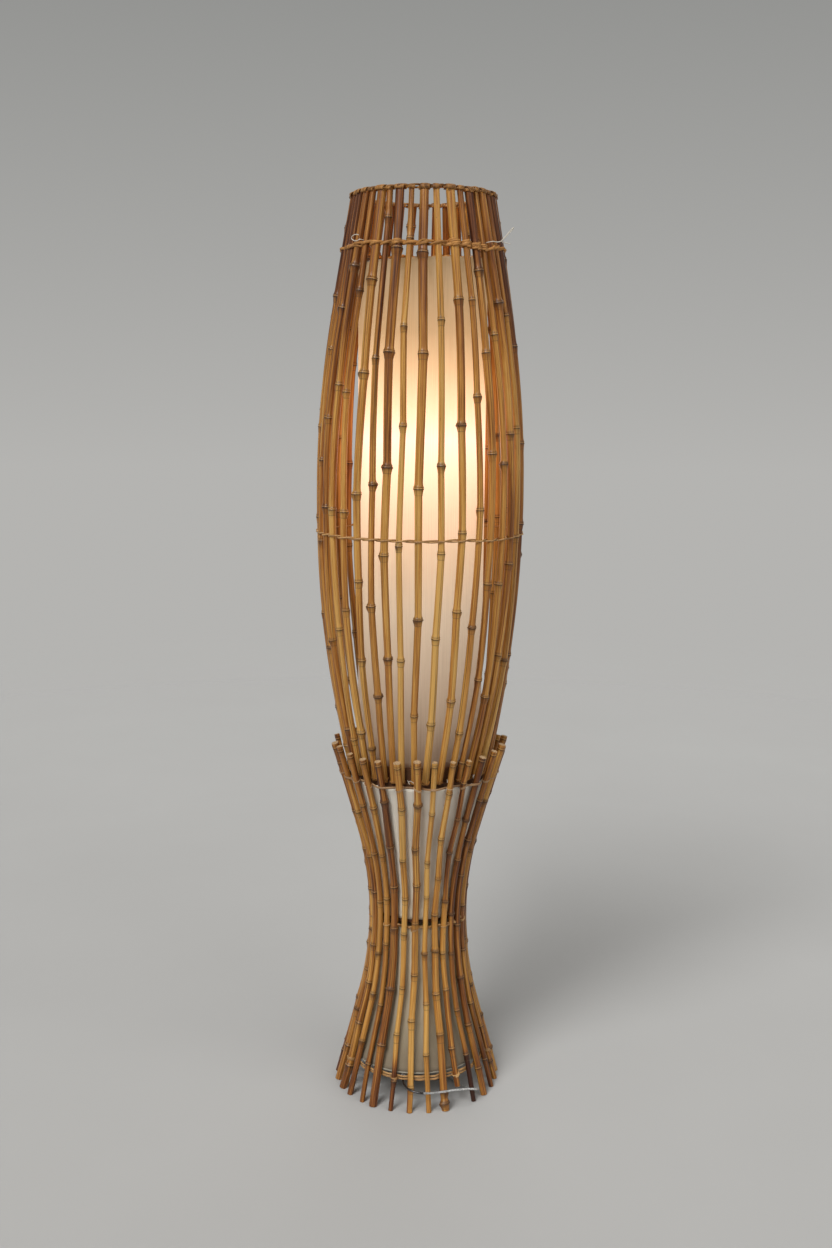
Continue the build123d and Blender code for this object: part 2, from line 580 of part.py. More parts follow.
# ---- Two-pin plug
relief_end = PLUG_START + RELIEF_LENGTH
plug_end = relief_end + PLUG_LENGTH
with BuildPart() as plug_body:
    with BuildSketch(Plane((0, 0, PLUG_HEIGHT - PLUG_THICKNESS / 2))):
        with BuildLine():
            side = [(relief_end, PLUG_BACK / 2), (relief_end + 14, PLUG_FRONT / 2 - 1.5)]
            side += [(plug_end - 4, PLUG_FRONT / 2), (plug_end, PLUG_FRONT / 2)]
            edge = [(x, PLUG_Y + y) for x, y in side]
            edge += [(x, PLUG_Y - y) for x, y in reversed(side)]
            Polyline(*edge, close=True)
        make_face()
    extrude(amount=PLUG_THICKNESS)
    fillet(plug_body.edges().filter_by(Axis.Z), radius=1.4)
    flat_edges = plug_body.faces().filter_by(Axis.Z).edges()
    fillet(flat_edges.filter_by(lambda edge: edge.center().X < plug_end - 1), radius=1.2)
    with BuildSketch(Plane((PLUG_START, PLUG_Y, PLUG_HEIGHT), z_dir=(1, 0, 0))):
        Circle(2.6)
    with BuildSketch(Plane((relief_end + 1, PLUG_Y, PLUG_HEIGHT), z_dir=(1, 0, 0))):
        Circle(4.6)
    loft()
save(plug_body.part, "plug_body")

with BuildPart() as plug_pins:
    for y in (PLUG_Y - PIN_SPACING / 2, PLUG_Y + PIN_SPACING / 2):
        with BuildSketch(Plane((plug_end, y, PLUG_HEIGHT), z_dir=(1, 0, 0))):
            Circle(PIN_RADIUS)
        extrude(amount=PIN_LENGTH)
    tips = plug_pins.faces().filter_by(Axis.X).group_by(Axis.X)[-1]
    fillet(tips.edges(), radius=0.9)
save(plug_pins.part, "plug_pins")
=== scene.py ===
import json
import random
from collections import namedtuple
from math import atan2, cos, degrees, exp, hypot, pi, radians, sin

import bmesh
import bpy
from mathutils import Matrix, Vector, noise


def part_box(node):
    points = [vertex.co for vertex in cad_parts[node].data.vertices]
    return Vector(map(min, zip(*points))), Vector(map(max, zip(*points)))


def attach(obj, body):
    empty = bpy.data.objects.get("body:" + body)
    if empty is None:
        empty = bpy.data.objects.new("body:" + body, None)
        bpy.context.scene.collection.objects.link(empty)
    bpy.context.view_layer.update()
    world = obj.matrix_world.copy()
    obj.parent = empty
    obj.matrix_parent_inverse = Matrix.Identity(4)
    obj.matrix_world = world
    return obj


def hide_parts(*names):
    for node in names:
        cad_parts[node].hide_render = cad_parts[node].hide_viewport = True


# The looks of the bamboo basket floor lamp. Metres, +Z up, front towards -Y, as in the CAD.

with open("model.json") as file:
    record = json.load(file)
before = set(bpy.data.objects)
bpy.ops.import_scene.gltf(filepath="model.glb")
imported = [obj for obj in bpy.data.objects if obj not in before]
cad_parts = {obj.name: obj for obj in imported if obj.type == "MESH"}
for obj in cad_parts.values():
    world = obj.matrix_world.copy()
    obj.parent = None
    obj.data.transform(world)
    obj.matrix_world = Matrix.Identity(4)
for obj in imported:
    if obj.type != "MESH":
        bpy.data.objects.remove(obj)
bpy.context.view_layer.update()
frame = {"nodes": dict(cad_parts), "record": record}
scene = bpy.context.scene

MM = 0.001
TURN = 2 * pi
UP = Vector((0, 0, 1))


def clamp(value, low=0.0, high=1.0):
    return max(low, min(high, value))


def lumps(x, y, z):
    """Smooth noise, mostly between -0.5 and 0.5."""
    return noise.noise(Vector((x, y, z)))


# ---- Camera
CAMERA_PLACE = (0, -2.089, 1.107)
CAMERA_PITCH, CAMERA_ROLL = 80.45, 0.47
CAMERA_LENS, CAMERA_SHIFT = 38.93, -0.0034

camera = bpy.data.objects.new("camera", bpy.data.cameras.new("camera"))
camera.data.lens = CAMERA_LENS
camera.data.sensor_width = 36
camera.data.shift_x = CAMERA_SHIFT
tilt = Matrix.Rotation(radians(CAMERA_PITCH), 4, "X")
roll = Matrix.Rotation(radians(CAMERA_ROLL), 4, "Z")
camera.matrix_world = Matrix.Translation(CAMERA_PLACE) @ tilt @ roll
scene.collection.objects.link(camera)
scene.camera = camera
scene.view_settings.view_transform = "Standard"


# ---- Shader helpers
class Shader:
    """The nodes of a material or a world in the making."""

    def __init__(self, name, world=False, **sockets):
        self.owner = (bpy.data.worlds if world else bpy.data.materials).new(name)
        self.owner.use_nodes = True
        self.tree = self.owner.node_tree
        self.bsdf = self.tree.nodes.get("Principled BSDF")
        self.fill(self.bsdf, {key.replace("_", " "): value for key, value in sockets.items()})

    def fill(self, node, inputs):
        """Links outputs to a node's inputs, or sets the inputs to numbers and colours."""
        for key, value in dict(inputs).items():
            if isinstance(value, bpy.types.NodeSocket):
                self.tree.links.new(value, node.inputs[key])
            elif value is not None:
                node.inputs[key].default_value = value
        return node

    def node(self, kind, inputs=(), **settings):
        made = self.tree.nodes.new("ShaderNode" + kind)
        for key, value in settings.items():
            setattr(made, key, value)
        return self.fill(made, inputs)

    def math(self, operation, *values, clamp=False):
        made = self.node("Math", enumerate(values), operation=operation, use_clamp=clamp)
        return made.outputs[0]

    def sway(self, value, amount, total):
        """Adds a value from 0 to 1 to a total, as plus or minus half the amount."""
        return self.math("MULTIPLY_ADD", self.math("SUBTRACT", value, 0.5), amount, total)

    def streaks(self, vector, scale, detail=3, roughness=0.55):
        """Noise with its own scale along each axis."""
        made = self.node("Mapping", {"Vector": vector, "Scale": scale})
        return self.noise(made.outputs[0], 1, detail, roughness)

    def noise(self, vector, scale, detail=3, roughness=0.55):
        inputs = {"Vector": vector, "Scale": scale, "Detail": detail, "Roughness": roughness}
        return self.node("TexNoise", inputs).outputs["Fac"]

    def ramp(self, value, stops):
        """Colours or greys at places from 0 to 1."""
        made = self.node("ValToRGB", {0: value})
        steps = made.color_ramp.elements
        steps.remove(steps[1])
        steps[0].position = stops[0][0]
        for number, (place, colour) in enumerate(stops):
            step = steps.new(place) if number else steps[0]
            step.color = (*colour, 1) if isinstance(colour, tuple) else (colour, colour, colour, 1)
        return made.outputs[0]

    def span(self, value, low, high, start=0.0, end=1.0):
        inputs = enumerate((value, low, high, start, end))
        return self.node("MapRange", inputs, clamp=True).outputs[0]

    def mix(self, share, first, second, way="MIX"):
        first, second = [(*c, 1) if isinstance(c, tuple) else c for c in (first, second)]
        inputs = {0: share, 6: first, 7: second}
        made = self.node("Mix", inputs, data_type="RGBA", blend_type=way, clamp_result=True)
        return made.outputs[2]

    def bump(self, height, strength, distance, before=None):
        inputs = {"Strength": strength, "Distance": distance, "Height": height, "Normal": before}
        return self.node("Bump", inputs).outputs[0]

    def attribute(self, name, output="Fac"):
        return self.node("Attribute", attribute_name=name).outputs[output]

    def place(self):
        return self.node("TexCoord").outputs["Object"]

    def finish(self, colour, roughness, normal=None):
        inputs = {"Base Color": colour, "Roughness": roughness, "Normal": normal}
        self.fill(self.bsdf, inputs)
        return self.owner


RING_REACH = 0.010  # how far from a node its ring shades and shapes the cane
NODE_SHADE = [
    (0, 1.0), (0.3, 0.88), (0.44, 0.7), (0.475, 0.24), (0.52, 0.22), (0.55, 0.9),
    (0.6, 1.0), (0.625, 0.9), (0.645, 0.34), (0.67, 0.64), (0.8, 1.0),
]
NODE_WAX = [(0.53, 0.0), (0.56, 0.5), (0.61, 0.35), (0.64, 0.0)]


def bamboo(name, stops, contrast):
    """Bamboo skin: streaks along the cane, long stains, and the double ring at each node."""
    s = Shader(name, Coat_Weight=0.09, Coat_Roughness=0.2, Specular_IOR_Level=0.36)
    place = s.attribute("grain", "Vector")
    streak = s.streaks(place, (520, 520, 7), 4, 0.62)
    fine = s.streaks(place, (2600, 2600, 30), 2, 0.5)
    stain = s.streaks(place, (130, 130, 5), 3, 0.55)
    mixed = s.sway(streak, contrast, s.attribute("tone"))
    mixed = s.sway(fine, 0.7, s.sway(stain, 1.1, mixed))
    colour = s.ramp(mixed, stops)
    crack = s.streaks(place, (760, 760, 3.5), 2, 0.5)
    colour = s.mix(1.0, colour, s.span(crack, 0.34, 0.43, 0.42, 1.0), "MULTIPLY")
    wobble = s.streaks(place, (500, 500, 0.1), 2)
    ring = s.span(s.sway(wobble, 0.0014, s.attribute("ring")), -RING_REACH, RING_REACH)
    colour = s.mix(1.0, colour, s.ramp(ring, NODE_SHADE), "MULTIPLY")
    colour = s.mix(s.ramp(ring, NODE_WAX), colour, (0.46, 0.27, 0.11))
    scar = s.math("MULTIPLY", s.attribute("scar"), s.span(streak, 0.3, 0.6, 0.45, 1.0))
    colour = s.mix(scar, colour, (0.085, 0.034, 0.012))
    speck = s.span(s.streaks(place, (420, 420, 150), 2), 0.72, 0.78, 0.0, 0.7)
    colour = s.mix(speck, colour, (0.10, 0.038, 0.013))
    rough = s.span(fine, 0.2, 0.8, 0.28, 0.48)
    normal = s.bump(streak, 0.25, 0.0006)
    normal = s.bump(fine, 0.18, 0.0003, normal)
    return s.finish(colour, rough, normal)


def fibre(name, dark, pale, rough):
    """Split rattan or grass rope: fibres along the strand."""
    s = Shader(name, Specular_IOR_Level=0.35)
    place = s.attribute("grain", "Vector")
    fibre = s.streaks(place, (2600, 2600, 40), 4, 0.6)
    patch = s.streaks(place, (160, 160, 60), 3)
    share = s.sway(patch, 1.2, fibre)
    share = s.math("ADD", share, s.math("SUBTRACT", s.attribute("tone"), 0.5), clamp=True)
    middle = tuple((a + b) / 2 for a, b in zip(dark, pale))
    colour = s.ramp(share, [(0.15, dark), (0.5, middle), (0.85, pale)])
    coarse = s.span(fibre, 0.2, 0.8, rough - 0.1, rough + 0.1)
    return s.finish(colour, coarse, s.bump(fibre, 0.5, 0.0005))


def sawn_end(name, pith, skin):
    """A cane's sawn end: pale fibre bundles with a darker rim."""
    s = Shader(name)
    bundles = s.noise(s.attribute("grain", "Vector"), 2600, 2, 0.5)
    palest = tuple(1.15 * c for c in pith)
    colour = s.ramp(s.span(bundles, 0.35, 0.65), [(0, skin), (0.6, pith), (1, palest)])
    return s.finish(colour, 0.8, s.bump(bundles, 0.6, 0.0005))


def board(name, dark, pale):
    """Stained board: long growth bands across the disc."""
    s = Shader(name, Specular_IOR_Level=0.35)
    place = s.place()
    warp = s.streaks(place, (6, 2, 2))
    inputs = {"Vector": place, "Scale": 13, "Distortion": 11, "Detail": 4}
    bands = s.node("TexWave", inputs, wave_type="BANDS", bands_direction="Y")
    pores = s.streaks(place, (50, 900, 900))
    share = s.math("MULTIPLY_ADD", bands.outputs["Fac"], 0.4, s.math("MULTIPLY", warp, 0.7))
    share = s.sway(pores, 0.6, share)
    colour = s.ramp(share, [(0.1, dark), (0.9, pale)])
    return s.finish(colour, s.span(pores, 0.2, 0.8, 0.5, 0.75), s.bump(pores, 0.3, 0.0004))


def metal(name, dark, pale, rough, metallic=1.0):
    s = Shader(name, Metallic=metallic)
    place = s.place()
    scratches = s.streaks(place, (60, 60, 2400))
    cloud = s.noise(place, 90, 3)
    share = s.math("MULTIPLY_ADD", scratches, 0.5, s.math("MULTIPLY", cloud, 0.5))
    colour = s.ramp(share, [(0.3, dark), (0.7, pale)])
    coarse = s.span(cloud, 0.25, 0.75, rough - 0.08, rough + 0.1)
    return s.finish(colour, coarse, s.bump(scratches, 0.15, 0.0002))


def moulded(name, dark, pale, rough, **sockets):
    """Moulded plastic or glazed ceramic: an even colour with faint clouding and fine texture."""
    s = Shader(name, **sockets)
    place = s.place()
    cloud = s.noise(place, 35, 3)
    grit = s.noise(place, 1900, 2)
    colour = s.ramp(cloud, [(0.3, dark), (0.7, pale)])
    coarse = s.span(grit, 0.3, 0.7, rough - 0.05, rough + 0.07)
    return s.finish(colour, coarse, s.bump(grit, 0.12, 0.0001))


def cloth_weave(s, place, pitch):
    """Fine threads round the lamp's axis and up it. Gives the height and an uneven slub."""
    parts = s.node("SeparateXYZ", {0: place})
    angle = s.math("ARCTAN2", parts.outputs[0], parts.outputs[1])
    warp = s.math("SINE", s.math("MULTIPLY", angle, 0.098 * TURN / pitch))
    weft = s.math("SINE", s.math("MULTIPLY", parts.outputs[2], TURN / pitch))
    across, up = s.math("MULTIPLY", angle, 60), s.math("MULTIPLY", parts.outputs[2], 9)
    slub = s.noise(s.node("CombineXYZ", {0: across, 2: up}).outputs[0], 1, 4, 0.65)
    return s.math("ADD", warp, weft), slub, parts.outputs[2]


def lit_cloth():
    """Cream cloth lit by the bulb inside it: brightest at the bulb's height."""
    s = Shader("diffuser_cloth", Sheen_Weight=0.15, Specular_IOR_Level=0.2)
    threads, slub, height = cloth_weave(s, s.place(), 0.0011)
    colour = s.ramp(slub, [(0.25, (0.44, 0.345, 0.245)), (0.75, (0.54, 0.44, 0.33))])
    low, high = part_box("diffuser")
    up = s.span(height, low.z, high.z)
    glow = s.ramp(up, [
        (0.03, (0.010, 0.003, 0.001)), (0.17, (0.092, 0.067, 0.047)), (0.31, (0.163, 0.125, 0.088)),
        (0.44, (0.27, 0.177, 0.108)), (0.515, (0.40, 0.243, 0.150)), (0.585, (0.62, 0.342, 0.216)),
        (0.655, (0.74, 0.412, 0.298)), (0.72, (0.57, 0.318, 0.178)), (0.79, (0.335, 0.196, 0.091)),
        (0.86, (0.193, 0.109, 0.042)), (1.0, (0.085, 0.055, 0.024)),
    ])
    strength = s.span(slub, 0.2, 0.8, 2.12, 2.48)
    s.fill(s.bsdf, {"Emission Color": glow, "Emission Strength": strength})
    return s.finish(colour, 0.85, s.bump(threads, 0.2, 0.0002))


def plain_cloth():
    """Unbleached cloth, greyer towards the top of the stand; its darkening towards the foot is
    painted shade.
    """
    s = Shader("liner_cloth", Sheen_Weight=0.2, Specular_IOR_Level=0.2)
    threads, slub, height = cloth_weave(s, s.place(), 0.0014)
    stain = s.noise(s.place(), 14, 4)
    # Painted shade: this ramp by height darkens the cloth towards the foot of the stand, where the
    # canes shade it.
    cloth = s.ramp(s.span(height, 0.0, 0.55), [
        (0.1, (0.25, 0.20, 0.14)), (0.2, (0.36, 0.30, 0.21)), (0.3, (0.50, 0.42, 0.305)),
        (0.4, (0.72, 0.63, 0.47)), (0.5, (0.84, 0.75, 0.58)), (0.6, (0.87, 0.79, 0.66)),
        (0.75, (0.90, 0.83, 0.72)), (0.95, (0.86, 0.81, 0.72)),
    ])
    dirt = s.ramp(s.math("MULTIPLY_ADD", stain, 0.6, s.math("MULTIPLY", slub, 0.4)), [
        (0.3, (0.74, 0.70, 0.63)), (0.5, (0.92, 0.91, 0.88)), (0.7, (1.0, 1.0, 1.0)),
    ])
    return s.finish(s.mix(1.0, cloth, dirt, "MULTIPLY"), 0.9, s.bump(threads, 0.35, 0.0003))


def clear_sheath():
    """Clear sheath over silvery wire. The first stretch at the foot is dark, and beyond it the
    sheath grows paler to the right, a painted highlight."""
    s = Shader("clear_flex", Coat_Weight=0.3, Coat_Roughness=0.12)
    place = s.place()
    parts = s.node("SeparateXYZ", {0: place})
    left = s.math("LESS_THAN", parts.outputs[0], 0.011)
    front = s.math("LESS_THAN", parts.outputs[1], -0.09)
    dark = s.math("MULTIPLY", left, front)
    strands = s.noise(place, 300)
    silver = s.ramp(strands, [(0.35, (0.30, 0.30, 0.29)), (0.65, (0.56, 0.56, 0.54))])
    # Painted highlight: the silver grows paler along x, towards the cord's right end.
    painted_highlight = s.span(parts.outputs[0], 0.01, 0.08, 0.55, 1.25)
    silver = s.mix(1.0, silver, painted_highlight, "MULTIPLY")
    # A plain dark colour for the first stretch in front of the foot.
    dark_stretch = s.ramp(strands, [(0.35, (0.006, 0.004, 0.004)), (0.65, (0.022, 0.015, 0.013))])
    coarse = s.span(strands, 0.3, 0.7, 0.22, 0.34)
    return s.finish(s.mix(dark, silver, dark_stretch), coarse, s.bump(strands, 0.1, 0.0003))


def lit_glass():
    s = Shader("lit_glass", Transmission_Weight=0.5, IOR=1.45)
    cloud = s.noise(s.place(), 45, 2)
    colour = s.ramp(cloud, [(0.3, (0.95, 0.88, 0.76)), (0.7, (1.0, 0.95, 0.86))])
    glow = s.ramp(cloud, [(0.3, (1.0, 0.72, 0.38)), (0.7, (1.0, 0.80, 0.48))])
    s.fill(s.bsdf, {"Emission Color": glow, "Emission Strength": 3})
    return s.finish(colour, 0.35)


CANE_STOPS = [
    (0.0, (0.040, 0.009, 0.002)), (0.25, (0.140, 0.039, 0.007)), (0.45, (0.280, 0.100, 0.017)),
    (0.65, (0.425, 0.182, 0.033)), (0.85, (0.54, 0.268, 0.056)), (1.0, (0.62, 0.35, 0.095)),
]
MATERIALS = {
    "basket_cane": bamboo("basket_cane_skin", CANE_STOPS, 1.5),
    "stand_cane": bamboo("stand_cane_skin", CANE_STOPS, 1.4),
    "cut_end": sawn_end("cane_cut_end", (0.50, 0.34, 0.18), (0.16, 0.08, 0.035)),
    "rattan": fibre("split_rattan", (0.20, 0.09, 0.028), (0.60, 0.35, 0.14), 0.5),
    "rim_peel": fibre("rim_peel", (0.090, 0.032, 0.008), (0.50, 0.235, 0.060), 0.5),
    "pale_peel": fibre("pale_peel", (0.22, 0.11, 0.045), (0.62, 0.41, 0.22), 0.55),
    "rope": fibre("grass_rope", (0.10, 0.032, 0.007), (0.66, 0.315, 0.085), 0.6),
    "hem_cord": fibre("hem_cord", (0.33, 0.305, 0.24), (0.60, 0.565, 0.47), 0.7),
    "white_wire": metal("coated_wire", (0.50, 0.455, 0.38), (0.74, 0.69, 0.60), 0.45, 0.0),
    "brown_wood": board("brown_board", (0.055, 0.022, 0.010), (0.19, 0.085, 0.036)),
    "dark_wood": board("dark_board", (0.018, 0.007, 0.004), (0.10, 0.038, 0.017)),
    "zinc_steel": metal("zinc_steel", (0.42, 0.43, 0.44), (0.68, 0.69, 0.70), 0.35),
    "brass": metal("plain_brass", (0.50, 0.36, 0.13), (0.78, 0.60, 0.28), 0.3),
    "nickel": metal("nickel_plate", (0.52, 0.51, 0.48), (0.76, 0.75, 0.72), 0.22),
    "black_plastic": moulded("black_moulding", (0.012, 0.012, 0.012), (0.03, 0.03, 0.03), 0.32),
    "porcelain": moulded("white_ceramic", (0.74, 0.72, 0.67), (0.86, 0.84, 0.80), 0.2),
    "white_plastic": moulded("white_moulding", (0.68, 0.67, 0.63), (0.78, 0.77, 0.74), 0.35),
    "rocker_plastic": moulded("rocker_moulding", (0.76, 0.75, 0.73), (0.86, 0.86, 0.84), 0.28),
    "dark_flex": moulded("dark_sheath", (0.015, 0.011, 0.009), (0.04, 0.03, 0.026), 0.4),
    "clear_flex": clear_sheath(),
    "diffuser_cloth": lit_cloth(),
    "liner_cloth": plain_cloth(),
    "bulb_glass": lit_glass(),
}
node_slots = {part["node"]: part["material_slot"] for part in frame["record"]["subparts"]}

# ---- The free flex: one smooth line from the foot, through the switch and the coil, to the plug
FLEX_DIAMETER = 0.0034
FLEX_RUN = [
    (-0.0216, -0.0976, 0.0455), (-0.0217, -0.107, 0.0442), (-0.0208, -0.117, 0.0428),
    (-0.0155, -0.128, 0.041), (-0.0045, -0.136, 0.0388), (0.0095, -0.1382, 0.0376),
    (0.025, -0.1366, 0.0374), (0.042, -0.1323, 0.0376), (0.055, -0.127, 0.037),
    (0.0675, -0.1205, 0.035), (0.0795, -0.112, 0.0315), (0.09, -0.1015, 0.026),
    (0.0965, -0.0905, 0.0195), (0.097, -0.079, 0.0135), (0.0915, -0.068, 0.0084),
    (0.0825, -0.0565, 0.0044), (0.072, -0.044, 0.002), (0.06, -0.029, 0.0018),
    (0.05, -0.009, 0.0018), (0.0445, 0.014, 0.0018), (0.044, 0.039, 0.0018),
    (0.0475, 0.064, 0.0018), (0.054, 0.088, 0.0018), (0.0625, 0.1105, 0.0018),
    (0.0705, 0.128, 0.0018), (0.0735, 0.142, 0.0018), (0.069, 0.155, 0.002),
    (0.059, 0.163, 0.003), (0.0475, 0.1656, 0.005), (0.038, 0.1655, 0.0062),
]
FLEX_LINK = [(-0.014, 0.1655, 0.0062), (-0.022, 0.1652, 0.005), (-0.03, 0.1655, 0.003)]
FLEX_TAIL = [
    (-0.027, 0.2083, 0.0116), (-0.0165, 0.2086, 0.0092), (-0.006, 0.208, 0.0069),
    (0.010, 0.208, 0.0069),
]
COIL_CENTRE = (-0.046, 0.1862)
COIL_COLUMNS = (0.0205, 0.017, 0.0135)
COIL_LAYERS, COIL_STEP = 4, 0.0035
COIL_POINTS = 16  # in one turn
COIL_SHIFT = 0.25  # the share of a turn in which the line moves over to the next place


def coil_points():
    """Turns wound inwards and outwards by turns, layer on layer, from near to far."""
    places = []
    for layer in range(COIL_LAYERS):
        columns = COIL_COLUMNS if layer % 2 == 0 else COIL_COLUMNS[::-1]
        places += [(radius, FLEX_DIAMETER / 2 + layer * COIL_STEP) for radius in columns]
    total = int((len(places) - 0.5) * COIL_POINTS)
    points = []
    for step in range(total + 1):
        turn, within = divmod(step, COIL_POINTS)
        radius, height = places[turn]
        if turn + 1 < len(places):
            share = max(0.0, within / COIL_POINTS - (1 - COIL_SHIFT)) / COIL_SHIFT
            share = share * share * (3 - 2 * share)
            radius += (places[turn + 1][0] - radius) * share
            height += (places[turn + 1][1] - height) * share
        angle = -pi / 2 - TURN * step / COIL_POINTS
        reach = radius / cos(pi / COIL_POINTS)
        x, y = reach * cos(angle), reach * sin(angle)
        points.append((COIL_CENTRE[0] + x, COIL_CENTRE[1] + y, height))
    return points


line = bpy.data.curves.new("free_flex", "CURVE")
line.dimensions = "3D"
line.bevel_depth = FLEX_DIAMETER / 2
line.bevel_resolution = 4
line.use_fill_caps = True
flex_line = FLEX_RUN + FLEX_LINK + coil_points() + FLEX_TAIL
spline = line.splines.new("NURBS")
spline.points.add(len(flex_line) - 1)
for point, place in zip(spline.points, flex_line):
    point.co = (*place, 1)
spline.order_u = 3
spline.use_endpoint_u = True
spline.resolution_u = 6
flex = bpy.data.objects.new("free_flex", line)
scene.collection.objects.link(flex)
flex.data.materials.append(MATERIALS["clear_flex"])
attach(flex, "stand")
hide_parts("flex_run", "flex_link", "flex_coil", "flex_tail")


# ---- Mesh building
class Skin:
    """A mesh in the making, with what the materials read at each point."""

    def __init__(self):
        self.points, self.faces, self.slots = [], [], []
        self.grain, self.facts = [], []

    def add(self, point, grain, tone=0.5, ring=1.0, scar=0.0):
        self.points.append(point)
        self.grain.append(grain)
        self.facts.append((tone, ring, scar))

    def tube(self, centres, size, tone, shift=0.0, up=None, closed=False, turns=None, sides=8):
        """A tube along the centres. size is the half size along the side, or along up, and
        across it: one pair, or a list with one for each centre."""
        count = len(centres)
        sizes = size if isinstance(size, list) else [size] * count
        tangents = []
        for i in range(count):
            before = centres[i - 1] if closed or i else centres[0]
            after = centres[(i + 1) % count] if closed or i < count - 1 else centres[-1]
            tangents.append((after - before).normalized())
        side = up or tangents[0].orthogonal().normalized()
        base, along = len(self.points), 0.0
        for i in range(count):
            side = up or side
            side = (side - tangents[i] * side.dot(tangents[i])).normalized()
            other = tangents[i].cross(side)
            if i:
                along += (centres[i] - centres[i - 1]).length
            turn = turns[i] if turns else 0.0
            wide, high = sizes[i]
            for k in range(sides):
                angle = TURN * k / sides
                flat = Vector((cos(angle) * wide, sin(angle) * high))
                x = flat.x * cos(turn) - flat.y * sin(turn)
                y = flat.x * sin(turn) + flat.y * cos(turn)
                grain = (flat.x + shift, flat.y, along + shift * 7)
                self.add(centres[i] + side * x + other * y, grain, tone)
        self.join(base, count, sides, [0] * count, closed)
        if not closed:
            self.cap(base, count, sides, 0)

    def join(self, base, rows, sides, slots, closed=False):
        """Faces between rows of points. slots gives the material above each row."""
        for row in range(rows if closed else rows - 1):
            near, far = base + row * sides, base + (row + 1) % rows * sides
            for k in range(sides):
                n = (k + 1) % sides
                self.faces.append((near + k, near + n, far + n, far + k))
                self.slots.append(slots[row])

    def cap(self, base, rows, sides, slot):
        """Faces across the first and the last row of points."""
        self.faces.append(tuple(base + k for k in reversed(range(sides))))
        self.faces.append(tuple(base + (rows - 1) * sides + k for k in range(sides)))
        self.slots += [slot, slot]

    def build(self, name, body, slot, replaced=(), materials=None, smooth_angle=None):
        """The mesh as an object. Its material is the slot's own unless materials are named."""
        mesh = bpy.data.meshes.new(name)
        mesh.from_pydata([tuple(p) for p in self.points], [], self.faces)
        for material in materials or [slot]:
            mesh.materials.append(MATERIALS[material])
        mesh.polygons.foreach_set("material_index", self.slots)
        mesh.polygons.foreach_set("use_smooth", [True] * len(self.faces))
        grain = mesh.attributes.new("grain", "FLOAT_VECTOR", "POINT")
        grain.data.foreach_set("vector", [c for g in self.grain for c in g])
        for place, fact in enumerate(("tone", "ring", "scar")):
            values = mesh.attributes.new(fact, "FLOAT", "POINT")
            values.data.foreach_set("value", [f[place] for f in self.facts])
        if smooth_angle is not None:
            mesh.set_sharp_from_angle(angle=smooth_angle)
        mesh.update()
        made = bpy.data.objects.new(name, mesh)
        scene.collection.objects.link(made)
        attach(made, body)
        if replaced:
            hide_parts(*replaced)
        return made


def smooth_line(points, steps, closed=False):
    """A Catmull-Rom line through the points."""
    count = len(points)
    made = []
    for i in range(count if closed else count - 1):
        if closed:
            a, b, c, d = (points[(i + k) % count] for k in (-1, 0, 1, 2))
        else:
            a, b, c, d = (points[min(max(i + k, 0), count - 1)] for k in (-1, 0, 1, 2))
        for step in range(steps):
            t = step / steps
            made.append(0.5 * (
                2 * b + (c - a) * t + (2 * a - 5 * b + 4 * c - d) * t * t
                + (3 * b - a - 3 * c + d) * t * t * t
            ))
    if not closed:
        made.append(points[-1])
    return made


# ---- Canes: centrelines are read from the CAD rods
RING_GAP = 0.002  # points of a CAD rod that are closer than this in height are one ring


def cad_rods(node):
    """Each rod of a CAD node as a list of (height, x, y, radius), from the bottom up."""
    shape = bmesh.new()
    shape.from_mesh(frame["nodes"][node].data)
    bmesh.ops.remove_doubles(shape, verts=shape.verts, dist=0.00002)
    left = set(shape.verts)
    rods = []
    while left:
        reached, waiting = set(), [next(iter(left))]
        while waiting:
            vert = waiting.pop()
            if vert in reached:
                continue
            reached.add(vert)
            waiting += [edge.other_vert(vert) for edge in vert.link_edges]
        left -= reached
        ordered = sorted((v.co.copy() for v in reached), key=lambda p: p.z)
        rings = [[ordered[0]]]
        for point in ordered[1:]:
            if point.z - rings[-1][-1].z > RING_GAP:
                rings.append([])
            rings[-1].append(point)
        rod = []
        for ring in rings:
            low = [min(p[k] for p in ring) for k in range(3)]
            high = [max(p[k] for p in ring) for k in range(3)]
            middle = [(a + b) / 2 for a, b in zip(low, high)]
            rod.append((middle[2], middle[0], middle[1], (high[0] - low[0] + high[1] - low[1]) / 4))
        rods.append(rod)
    shape.free()
    return sorted(rods, key=lambda rod: atan2(rod[-1][1], -rod[-1][2]))


# How the canes of each body grow: their number, the distance between nodes, and the swelling,
# the bud and the kink at a node
Habit = namedtuple("Habit", "count spacing flare bud kink")
# One node: its swelling, which way its bud faces, the bud's size and how rough the node is
Mark = namedtuple("Mark", "flare angle bud rough")
# One ring of a cane's mesh. size is its share of the cane's radius there
Ring = namedtuple("Ring", "height centre side other size on_end")
HABITS = {
    "basket": Habit(38, (0.115, 0.205), (0.16, 0.34), (0.08, 0.45), (0.12, 0.48)),
    "stand": Habit(29, (0.058, 0.100), (0.10, 0.24), (0.03, 0.22), (0.08, 0.4)),
}


CANE_SIDES, CANE_STEP = 14, 0.008
NEAR_NODE = (  # mm from a node, where the mesh has rings of its own
    -14, -10, -7, -5, -3.5, -2.2, -1.3, -0.7, -0.2, 0.4, 1.0, 1.7, 2.4, 3.0, 3.7, 4.6, 6, 8, 11,
)
CUT_END = ((0.0, 0.90), (0.0004, 0.66), (0.0016, 0.34))  # how deep and how wide each ring is
SCARRED, KNOBBLY = 0.62, 0.82  # how rough a node is when its bud is dark, and when it has knobs


def bell(distance, width):
    return exp(-((distance / width) ** 2))


